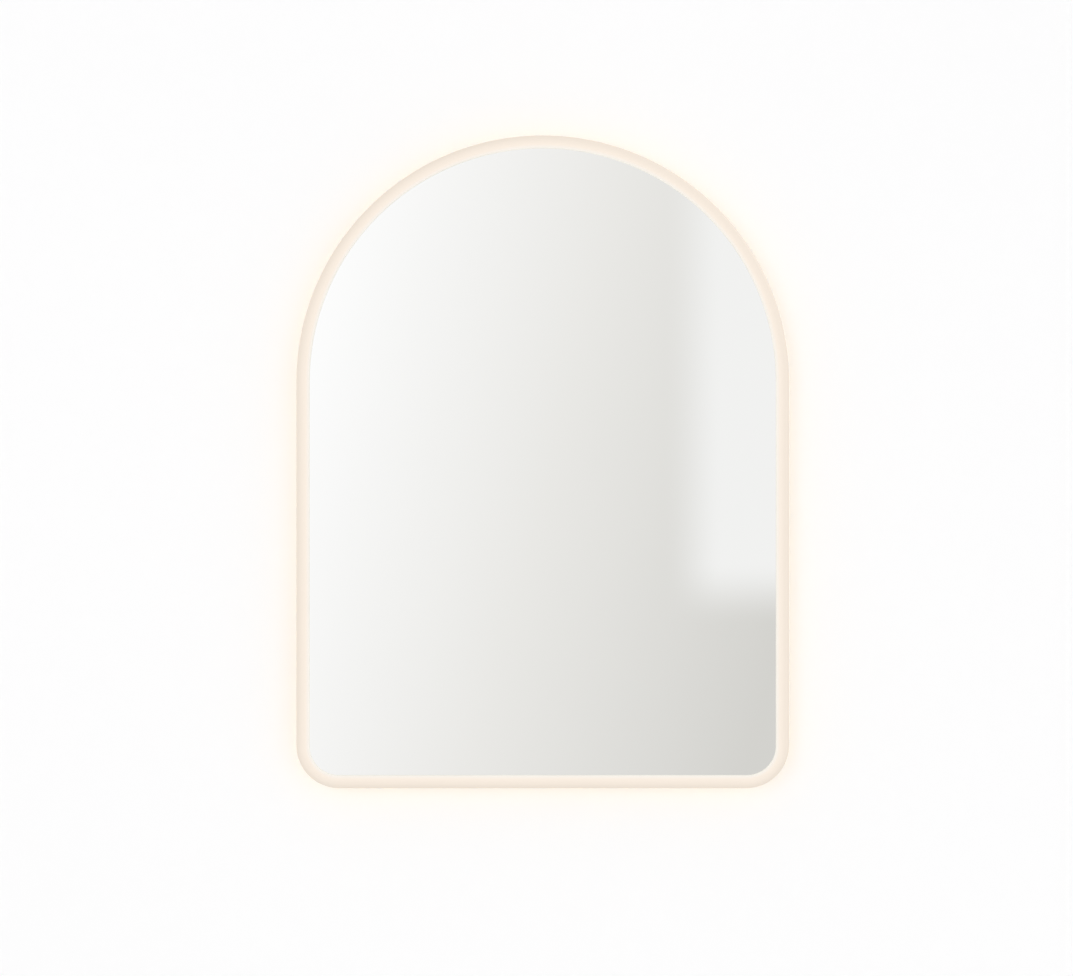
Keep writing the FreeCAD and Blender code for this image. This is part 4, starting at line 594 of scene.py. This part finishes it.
# ---------------------------------------------------------------- tray and rails
def powder_coat_finish():
    """White powder coat over pressed steel: fine orange peel, a little dust and handling wear."""
    coat = tuple(colours().powder_coat)
    finish = Finish("powder_coat", IOR=1.5, Coat_Weight=0.15, Coat_Roughness=0.35)
    patches = finish.noise(3.5, 5.0, 0.6)
    finish.paint(patches, [(0.3, tinted(coat, 0.965)), (0.7, coat)])
    peel = finish.noise(420.0, 3.0, 0.55)
    fine = finish.noise(1900.0, 2.0, 0.5)
    finish.rough(finish.math("ADD", patches, fine), 0.40, 0.56, 0.7, 1.3)
    finish.bump(fine, 0.00002, 0.35, finish.bump(peel, 0.00008, 0.5))
    return finish.material


def galvanised_finish():
    """Hot-dip zinc with its crystal spangle."""
    zinc = tuple(colours().galvanised)
    finish = Finish("galvanised_steel", Metallic=0.92)
    spangle = finish.cells(170.0, output=1)
    grey = finish.node("ShaderNodeSeparateColor", Color=spangle).outputs[0]
    feather = finish.noise(700.0, 3.0, 0.6)
    tone = finish.math("ADD", finish.math("MULTIPLY", grey, 0.7),
                       finish.math("MULTIPLY", feather, 0.3))
    finish.paint(tone, [(0.1, tinted(zinc, 0.82)), (0.5, zinc), (0.95, tinted(zinc, 1.22))])
    finish.rough(tone, 0.30, 0.52, 0.1, 0.9)
    finish.bump(tone, 0.00003, 0.3)
    return finish.material


def zinc_finish():
    """Bright zinc plate on turned and pressed steel, with a faint yellow-blue passivate."""
    zinc = tuple(colours().zinc)
    finish = Finish("bright_zinc", Metallic=1.0)
    tint = finish.noise(140.0, 3.0, 0.6)
    finish.paint(tint, [(0.3, (zinc[0] * 0.92, zinc[1] * 0.95, zinc[2])), (0.5, zinc),
                        (0.72, (zinc[0] * 1.05, zinc[1] * 1.02, zinc[2] * 0.9))])
    scratch = finish.noise(900.0, 3.0, 0.7, finish.scaled((1.0, 1.0, 0.15)))
    finish.rough(scratch, 0.18, 0.36)
    finish.bump(scratch, 0.00001, 0.3)
    return finish.material


def anodised_finish():
    """Satin anodised extrusion: die lines that follow the frame round the mirror."""
    metal = tuple(colours().anodised)
    finish = Finish("satin_anodised", Metallic=0.95)
    inset = inset_nodes(finish)
    drawn = finish.node("ShaderNodeCombineXYZ", X=finish.math("MULTIPLY", inset, DIE_LINES),
                        Y=finish.math("MULTIPLY", finish.axis(1), DIE_LINES), Z=0.0).outputs[0]
    lines = finish.noise(1.0, 3.0, 0.6, drawn)
    cloud = finish.noise(30.0, 3.0, 0.5)
    finish.paint(cloud, [(0.3, tinted(metal, 0.95)), (0.7, tinted(metal, 1.03))])
    finish.rough(lines, 0.26, 0.42)
    finish.bump(lines, 0.00002, 0.35)
    return finish.material


class MIRROR_OT_back(bpy.types.Operator):
    """Finishes of the rear tray, its gasket, the rails and the frame"""
    bl_idname = "mirror.back"
    bl_label = "Tray, Rails and Frame"

    def execute(self, context):
        dress(["tray_rim", "tray_panel"], powder_coat_finish())
        dress(["wall_rail", "hanger_rail", "hanger_bar"], galvanised_finish())
        dress(["frame_profile", "frame_splice"], anodised_finish())
        dress(["tray_gasket"], foam_finish("gasket_foam", (0.035, 0.035, 0.038), 900.0))
        dress(["glass_tape"], foam_finish("tape_foam", (0.80, 0.80, 0.77), 1400.0))
        dress(["backing_film"], film_finish())
        return {"FINISHED"}


def foam_finish(name, rgb, scale):
    """Closed-cell foam."""
    finish = Finish(name, IOR=1.4, Sheen_Weight=0.2)
    cells = finish.cells(scale)
    # darker where the cells dip: painted shade in the cell hollows
    finish.paint(cells, [(0.05, tinted(rgb, 0.72)), (0.5, rgb)])
    finish.rough(cells, 0.95, 0.75, 0.0, 0.6)
    finish.bump(cells, 0.0002, 0.6)
    return finish.material


def film_finish():
    """Grey backing paint under a clear safety film with a fine weave."""
    finish = Finish("backing_film", IOR=1.5, Coat_Weight=0.7, Coat_Roughness=0.12)
    paint = finish.noise(16.0, 4.0, 0.6)
    finish.paint(paint, [(0.3, (0.19, 0.225, 0.245)), (0.7, (0.225, 0.26, 0.28))])
    weave = finish.node("ShaderNodeTexWave", {"wave_type": "BANDS", "bands_direction": "DIAGONAL"},
                        Vector=finish.place, Scale=220.0, Distortion=0.4).outputs[1]
    finish.rough(weave, 0.42, 0.5, 0.0, 1.0)
    finish.bump(weave, 0.00003, 0.3)
    return finish.material


# ---------------------------------------------------------------- fixings
class MIRROR_OT_fixings(bpy.types.Operator):
    """Finishes of the screws, nuts, bracket, grommets and the push button"""
    bl_idname = "mirror.fixings"
    bl_label = "Fixings and Button"

    def execute(self, context):
        dress(["tray_screws", "hanger_screws", "hanger_nuts", "box_screws", "box_nuts",
               "driver_screws", "driver_nuts", "splice_screws", "lid_bracket", "bracket_rivets",
               "earth_stud", "earth_nut", "button_nut"], zinc_finish())
        dress(["cable_grommet", "web_grommet", "button_seal"],
              rubber_finish("grommet_rubber", 1.0, 0.5))
        dress(["button_housing", "button_cap", "lid_pin"], stainless_finish())
        return {"FINISHED"}


class MIRROR_OT_button_spring(bpy.types.Operator):
    """Wound return spring of the push button"""
    bl_idname = "mirror.button_spring"
    bl_label = "Button Spring"

    def execute(self, context):
        s = sizes()
        low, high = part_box("button_spring")
        wire, turns = s.spring_wire, s.spring_turns
        steps = turns * COIL_STEPS
        centre = (low + high) / 2
        radius = (high.x - low.x) / 2 - wire
        rise = high.z - low.z - 2 * wire
        bm = bmesh.new()
        ring = bmesh.ops.create_circle(bm, segments=WIRE_STEPS, radius=wire * 0.98,
                                       cap_ends=False)["verts"]
        upright = Matrix.Rotation(math.pi / 2, 3, "X")
        bmesh.ops.rotate(bm, verts=ring, cent=(0, 0, 0), matrix=upright)
        bmesh.ops.translate(bm, verts=ring, vec=(radius, 0, 0))
        first = bm.edges[:]
        made = bmesh.ops.spin(bm, geom=ring + first, cent=(0, 0, 0), axis=(0, 0, 1),
                              dvec=(0, 0, rise / steps), angle=math.tau * turns, steps=steps,
                              use_merge=False, use_duplicate=False)
        for end in (first, only(bmesh.types.BMEdge, made["geom_last"])):
            bmesh.ops.contextual_create(bm, geom=end)
        bmesh.ops.recalc_face_normals(bm, faces=bm.faces)
        bmesh.ops.translate(bm, verts=bm.verts, vec=(centre.x, centre.y, low.z + wire))
        spring = piece("button_coil", bm, "mirror_body", [stainless_finish()],
                       sharp=50.0, replaced=("button_spring",))
        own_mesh(spring)
        return {"FINISHED"}


def stainless_finish():
    """Turned stainless steel."""
    finish = Finish("turned_stainless", Metallic=1.0)
    rings = finish.noise(1800.0, 3.0, 0.6, finish.scaled((0.05, 0.05, 1.0)))
    finish.paint(rings, [(0.3, (0.54, 0.54, 0.55)), (0.7, (0.63, 0.63, 0.64))])
    finish.rough(rings, 0.16, 0.30)
    finish.bump(rings, 0.00001, 0.3)
    return finish.material


# ---------------------------------------------------------------- plastics
def moulded_finish(name, rgb, rough=0.45, grain=1500.0):
    """Moulded plastic with a spark-eroded grain and soft flow marks."""
    finish = Finish(name, IOR=1.5)
    flow = finish.noise(14.0, 4.0, 0.55)
    finish.paint(flow, [(0.3, tinted(rgb, 0.955)), (0.7, rgb)])
    texture = finish.noise(grain, 2.0, 0.6)
    finish.rough(texture, rough - 0.05, rough + 0.08)
    finish.bump(texture, 0.00004, 0.4)
    return finish.material


class MIRROR_OT_wiring(bpy.types.Operator):
    """Finishes of the wiring box, its lid, the terminal block and the levers"""
    bl_idname = "mirror.wiring"
    bl_label = "Wiring Box and Terminals"

    def execute(self, context):
        white = moulded_finish("moulded_white", tuple(colours().moulded))
        dress(["wiring_box", "wiring_lid", "driver_case", "driver_lid", "dimmer_case",
               "lead_clamps"], white)
        dress(["terminal_block"], moulded_finish("terminal_grey", (0.105, 0.11, 0.118), 0.4))
        amber = moulded_finish("lever_amber", (0.80, 0.20, 0.012), 0.25, 600.0)
        dress(["live_lever", "neutral_lever", "earth_lever"], amber)
        dress(["contact_clips", "earth_tag"], copper_finish())
        return {"FINISHED"}


def copper_finish():
    """Tinned copper, worn through at places."""
    finish = Finish("tinned_copper", Metallic=1.0)
    wear = finish.noise(320.0, 4.0, 0.65)
    finish.paint(wear, [(0.40, (0.62, 0.60, 0.57)), (0.62, (0.66, 0.36, 0.22))])
    finish.rough(wear, 0.22, 0.4)
    finish.bump(wear, 0.00002, 0.3)
    return finish.material


# ---------------------------------------------------------------- electronics
def board_finish():
    """Circuit board: green mask, tracks and tinned pads."""
    finish = Finish("circuit_board", IOR=1.5, Coat_Weight=0.5, Coat_Roughness=0.15)
    flat = finish.scaled((1.0, 1.0, 1.0), (math.pi / 2, 0, 0))
    tracks = finish.node("ShaderNodeTexBrick", {"offset": 0.37}, Vector=flat, Scale=150.0,
                         Mortar_Size=0.06, Color1=(0.013, 0.10, 0.045),
                         Color2=(0.016, 0.115, 0.05), Mortar=(0.03, 0.21, 0.095)).outputs[0]
    pad = finish.math("LESS_THAN", finish.cells(420.0, randomness=0.0), 0.24)
    finish.set("Base Color", finish.mix(pad, tracks, (0.62, 0.62, 0.60)))
    finish.set("Metallic", finish.math("MULTIPLY", pad, 0.9))
    finish.rough(pad, 0.42, 0.25, 0.0, 1.0)
    finish.bump(pad, 0.00005, 0.4)
    return finish.material


def ferrite_finish():
    """Dark ferrite core with yellow tape round its winding."""
    finish = Finish("ferrite_and_tape", IOR=1.6)
    low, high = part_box("driver_transformer")
    middle = (low.x + high.x) / 2
    from_middle = finish.math("ABSOLUTE", finish.math("SUBTRACT", finish.axis(0), middle))
    tape = finish.math("LESS_THAN", from_middle, (high.x - low.x) * 0.3)
    speck = finish.noise(900.0, 3.0, 0.7)
    core = finish.ramp(speck, [(0.3, (0.012, 0.011, 0.011)), (0.7, (0.03, 0.028, 0.027))])
    wrap = finish.ramp(finish.noise(80.0, 3.0),
                       [(0.3, (0.62, 0.40, 0.03)), (0.7, (0.74, 0.49, 0.05))])
    finish.set("Base Color", finish.mix(tape, core, wrap))
    finish.rough(tape, 0.72, 0.32, 0.0, 1.0)
    finish.bump(speck, 0.00004, 0.4)
    return finish.material


def can_finish():
    """Capacitor: dark sleeve round the side and a bare end."""
    finish = Finish("capacitor_can", IOR=1.5)
    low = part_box("driver_capacitors")[0]
    bare = finish.math("LESS_THAN", finish.axis(1), low.y + CAN_END)
    sleeve = finish.ramp(finish.noise(120.0, 2.0),
                         [(0.3, (0.012, 0.016, 0.028)), (0.7, (0.02, 0.025, 0.042))])
    finish.set("Base Color", finish.mix(bare, sleeve, (0.70, 0.70, 0.71)))
    finish.set("Metallic", bare)
    finish.rough(finish.noise(500.0, 3.0), 0.26, 0.4)
    return finish.material


def strip_finish():
    """Flexible circuit, white with small tinned pads."""
    finish = Finish("flexible_circuit", IOR=1.5, Coat_Weight=0.3)
    pad = finish.math("LESS_THAN", finish.cells(160.0, randomness=0.2), 0.18)
    white = finish.ramp(finish.noise(60.0, 3.0),
                        [(0.3, (0.80, 0.80, 0.79)), (0.7, (0.86, 0.86, 0.85))])
    finish.set("Base Color", finish.mix(pad, white, (0.60, 0.50, 0.36)))
    finish.set("Metallic", finish.math("MULTIPLY", pad, 0.8))
    finish.rough(finish.noise(900.0), 0.32, 0.45)
    return finish.material


def phosphor_finish():
    """Warm silicone over rows of chips, lit."""
    finish = Finish("lit_phosphor", Roughness=0.4, IOR=1.41, Emission_Strength=3.0)
    dots = finish.cells(380.0, randomness=0.15)
    lit = finish.ramp(dots, [(0.0, (1.0, 0.84, 0.55)), (0.6, (1.0, 0.70, 0.32))])
    finish.paint(dots, [(0.0, (0.95, 0.80, 0.40)), (0.6, (0.90, 0.66, 0.22))])
    finish.set("Emission Color", lit)
    finish.bump(finish.noise(700.0), 0.00004, 0.3)
    return finish.material


class MIRROR_OT_electronics(bpy.types.Operator):
    """Finishes of the boards, the power supply's components and the light strip"""
    bl_idname = "mirror.electronics"
    bl_label = "Electronics"

    def execute(self, context):
        dress(["driver_board", "dimmer_board"], board_finish())
        dress(["driver_transformer"], ferrite_finish())
        dress(["driver_capacitors"], can_finish())
        dress(["led_strip"], strip_finish())
        dress(["phosphor_bead"], phosphor_finish())
        return {"FINISHED"}


# ---------------------------------------------------------------- leads
def sheath_finish(name, rgb, second=None):
    """Flexible PVC sheath, with a second colour along it for an earth lead."""
    finish = Finish(name, IOR=1.52, Sheen_Weight=0.05)
    patches = finish.noise(90.0, 3.0, 0.55)
    base = finish.ramp(patches, [(0.3, tinted(rgb, 0.9)), (0.7, rgb)])
    if second:
        bands = finish.math("SINE", finish.math("MULTIPLY", finish.axis(1), LEAD_BANDS))
        base = finish.mix(finish.math("GREATER_THAN", bands, 0.15), base, second)
    finish.set("Base Color", base)
    finish.rough(finish.noise(600.0, 3.0), 0.38, 0.55)
    finish.bump(finish.noise(800.0, 2.0), 0.00003, 0.3)
    return finish.material


class MIRROR_OT_leads(bpy.types.Operator):
    """Finishes of the leads inside the mirror"""
    bl_idname = "mirror.leads"
    bl_label = "Leads"

    def execute(self, context):
        dress(["live_lead"], sheath_finish("lead_brown", (0.075, 0.028, 0.012)))
        dress(["neutral_lead"], sheath_finish("lead_blue", (0.012, 0.055, 0.30)))
        dress(["earth_lead"],
              sheath_finish("lead_green_yellow", (0.045, 0.27, 0.02), (0.72, 0.60, 0.03)))
        dress(["supply_lead", "strip_lead", "button_lead"],
              sheath_finish("lead_white", (0.72, 0.72, 0.69)))
        return {"FINISHED"}


# ---------------------------------------------------------------- stage
def plain_mesh(name, corners, material):
    """A flat surface of the stage."""
    bm = bmesh.new()
    bm.faces.new([bm.verts.new(corner) for corner in corners])
    mesh = bpy.data.meshes.new(name)
    bm.to_mesh(mesh)
    bm.free()
    mesh.materials.append(material)
    obj = bpy.data.objects.new(name, mesh)
    bpy.context.scene.collection.objects.link(obj)
    return obj


def wall_finish():
    """Plain white wall that only its front shows: from behind it is clear."""
    finish = Finish("studio_wall", Roughness=0.9, Specular_IOR_Level=0.0)
    finish.paint(finish.noise(1.2, 2.0), [(0.3, (0.944, 0.942, 0.946)),
                                          (0.7, (0.949, 0.947, 0.951))])
    finish.see_through(finish.node("ShaderNodeNewGeometry").outputs["Backfacing"])
    return finish.material


def floor_finish():
    """Pale floor that runs out into the plain surround far from the mirror."""
    finish = Finish("studio_floor", Roughness=0.7, Specular_IOR_Level=0.2)
    finish.paint(finish.noise(0.8, 3.0), [(0.3, (0.825, 0.825, 0.82)),
                                          (0.7, (0.855, 0.855, 0.85))])
    length = finish.node("ShaderNodeVectorMath", {"operation": "LENGTH"})
    finish.feed(length.inputs[0], finish.place)
    far = finish.spread(length.outputs[1], 2.4, 6.0)
    seen = finish.node("ShaderNodeLightPath").outputs["Is Camera Ray"]
    finish.see_through(finish.math("MULTIPLY", far, seen))
    return finish.material


def lamp(name, place, target, power, size):
    """A round soft lamp that points at the target."""
    data = bpy.data.lights.new(name, "AREA")
    data.energy = power
    data.shape = "DISK"
    data.size = size
    obj = bpy.data.objects.new(name, data)
    obj.location = place
    obj.rotation_euler = (Vector(target) - Vector(place)).to_track_quat("-Z", "Y").to_euler()
    bpy.context.scene.collection.objects.link(obj)
    return obj


def studio_world():
    """Even soft light and a white surround, pale grey as seen from behind. The mirror reflects
    white at the left, fading to a light warm grey at the lower right, with a soft upright light
    at the right."""
    soft = studio().soft_light
    world = bpy.data.worlds.new("studio_world")
    bpy.context.scene.world = world
    world.use_nodes = True
    sky = Nodes(world.node_tree)
    direction = sky.node("ShaderNodeTexCoord").outputs["Generated"]
    x, y, z = sky.node("ShaderNodeSeparateXYZ", Vector=direction).outputs
    forwards = sky.math("MULTIPLY", y, -1.0)
    ahead = sky.math("MAXIMUM", forwards, 0.05)        # never nought: the next two divide by it
    sideways = sky.math("DIVIDE", x, ahead)
    upwards = sky.math("DIVIDE", z, ahead)
    slope = sky.math("SUBTRACT", sideways, sky.math("MULTIPLY", upwards, 0.25))
    shade = sky.ramp(sky.spread(slope, -0.08, 0.085),
                     [(0.0, screen(255, 255, 255)), (0.5, screen(235, 234, 231)),
                      (1.0, screen(213, 212, 208))])
    upright = sky.math("MULTIPLY", sky.spread(sideways, 0.038, 0.057, kind="SMOOTHSTEP"),
                       sky.spread(upwards, -0.042, -0.022, kind="SMOOTHSTEP"))
    round_about = sky.math("ARCTAN2", x, forwards)
    swell = sky.math("MULTIPLY", sky.math("COSINE", sky.math("MULTIPLY", round_about, 6.0)), 0.5)
    tilt = sky.math("ADD", sky.math("ADD", swell, 0.5), sky.math("MULTIPLY", z, 0.3))
    dome = sky.mix(sky.spread(tilt, -0.1, 1.1), (0.58, 0.58, 0.58), (0.97, 0.97, 0.965))
    reflected = sky.mix(sky.spread(ahead, 0.93, 0.985), dome,
                        sky.mix(upright, shade, screen(243, 243, 242)))
    even = sky.mix(sky.spread(z, -1.0, 1.0), (soft * 1.02,) * 3, (soft * 0.98,) * 3)
    path = sky.node("ShaderNodeLightPath").outputs
    lit = sky.mix(path["Is Glossy Ray"], even, reflected)
    seen = sky.math("MAXIMUM", path["Is Camera Ray"], path["Is Transmission Ray"])
    surround = sky.mix(sky.spread(y, 0.25, -0.35), (1.0, 1.0, 1.0), (0.76, 0.76, 0.765))
    background = sky.tree.nodes["Background"]
    sky.feed(background.inputs["Color"], sky.mix(seen, lit, surround))


class MIRROR_OT_stage(bpy.types.Operator):
    """Camera, white wall, pale floor, lamps and world"""
    bl_idname = "mirror.stage"
    bl_label = "Stage"

    def execute(self, context):
        s = studio()
        data = bpy.data.cameras.new("camera")
        data.lens = s.lens
        data.sensor_width = SENSOR
        camera = bpy.data.objects.new("camera", data)
        camera.location = (s.camera_x, -s.camera_distance, s.camera_z)
        camera.rotation_euler = (math.pi / 2, 0, 0)
        context.scene.collection.objects.link(camera)
        context.scene.camera = camera
        reach, low, high = 7.0, -s.floor_drop, 6.0
        wall = plain_mesh("studio_wall", [
            (-reach, WALL_GAP, low), (reach, WALL_GAP, low), (reach, WALL_GAP, high),
            (-reach, WALL_GAP, high)], wall_finish())
        for rays in ("diffuse", "glossy", "transmission", "shadow"):
            setattr(wall, "visible_" + rays, False)
        floor = plain_mesh("studio_floor", [
            (-reach, -reach, low), (reach, -reach, low), (reach, reach, low),
            (-reach, reach, low)], floor_finish())
        floor.visible_glossy = False
        middle = (0.0, 0.0, (BAND_LOW.z + BAND_HIGH.z) / 2)
        key, fill = s.key_power, s.fill_power
        for name, place, power, size, shows in (      # a front lamp would be a disc in the mirror
                ("key_lamp", (-1.6, -4.7, 0.3), key, 2.4, False),
                ("fill_lamp", (1.9, -4.3, -0.4), fill, 2.4, False),
                ("rear_key_lamp", (3.2, 1.6, 2.0), key * 2.2, 1.2, True),
                ("rear_fill_lamp", (-3.0, 2.6, 0.4), fill, 2.0, True)):
            lamp(name, place, middle, power, size).visible_glossy = shows
        studio_world()
        context.scene.view_settings.view_transform = "Standard"
        return {"FINISHED"}


# ---------------------------------------------------------------- panel and registration
STEPS = (MIRROR_OT_stage, MIRROR_OT_light_band, MIRROR_OT_glass, MIRROR_OT_bumpers,
         MIRROR_OT_back, MIRROR_OT_fixings, MIRROR_OT_button_spring, MIRROR_OT_wiring,
         MIRROR_OT_electronics, MIRROR_OT_leads)
GROUPS = (MirrorSizes, MirrorColours, StudioSettings)


class MIRROR_PT_panel(bpy.types.Panel):
    """Lists the mirror's pieces and settings"""
    bl_idname = "MIRROR_PT_panel"
    bl_label = "Lighted Mirror"
    bl_space_type = "VIEW_3D"
    bl_region_type = "UI"
    bl_category = "Mirror"

    def draw(self, context):
        for step in STEPS:
            self.layout.operator(step.bl_idname, text=step.bl_label)
        for group in (sizes(), colours(), studio()):
            box = self.layout.box()
            for name in type(group).__annotations__:
                box.prop(group, name)


def register():
    for group in GROUPS:
        bpy.utils.register_class(group)
    bpy.types.Scene.mirror_sizes = bpy.props.PointerProperty(type=MirrorSizes)
    bpy.types.Scene.mirror_colours = bpy.props.PointerProperty(type=MirrorColours)
    bpy.types.Scene.mirror_studio = bpy.props.PointerProperty(type=StudioSettings)
    for step in STEPS + (MIRROR_PT_panel,):
        bpy.utils.register_class(step)


def unregister():
    for step in reversed(STEPS + (MIRROR_PT_panel,)):
        bpy.utils.unregister_class(step)
    del bpy.types.Scene.mirror_studio
    del bpy.types.Scene.mirror_colours
    del bpy.types.Scene.mirror_sizes
    for group in reversed(GROUPS):
        bpy.utils.unregister_class(group)


def main():
    register()
    bpy.ops.mirror.stage()
    bpy.ops.mirror.light_band()
    bpy.ops.mirror.glass()
    bpy.ops.mirror.bumpers()
    bpy.ops.mirror.back()
    bpy.ops.mirror.fixings()
    bpy.ops.mirror.button_spring()
    bpy.ops.mirror.wiring()
    bpy.ops.mirror.electronics()
    bpy.ops.mirror.leads()
    bpy.context.view_layer.update()


if __name__ == "__main__":
    main()
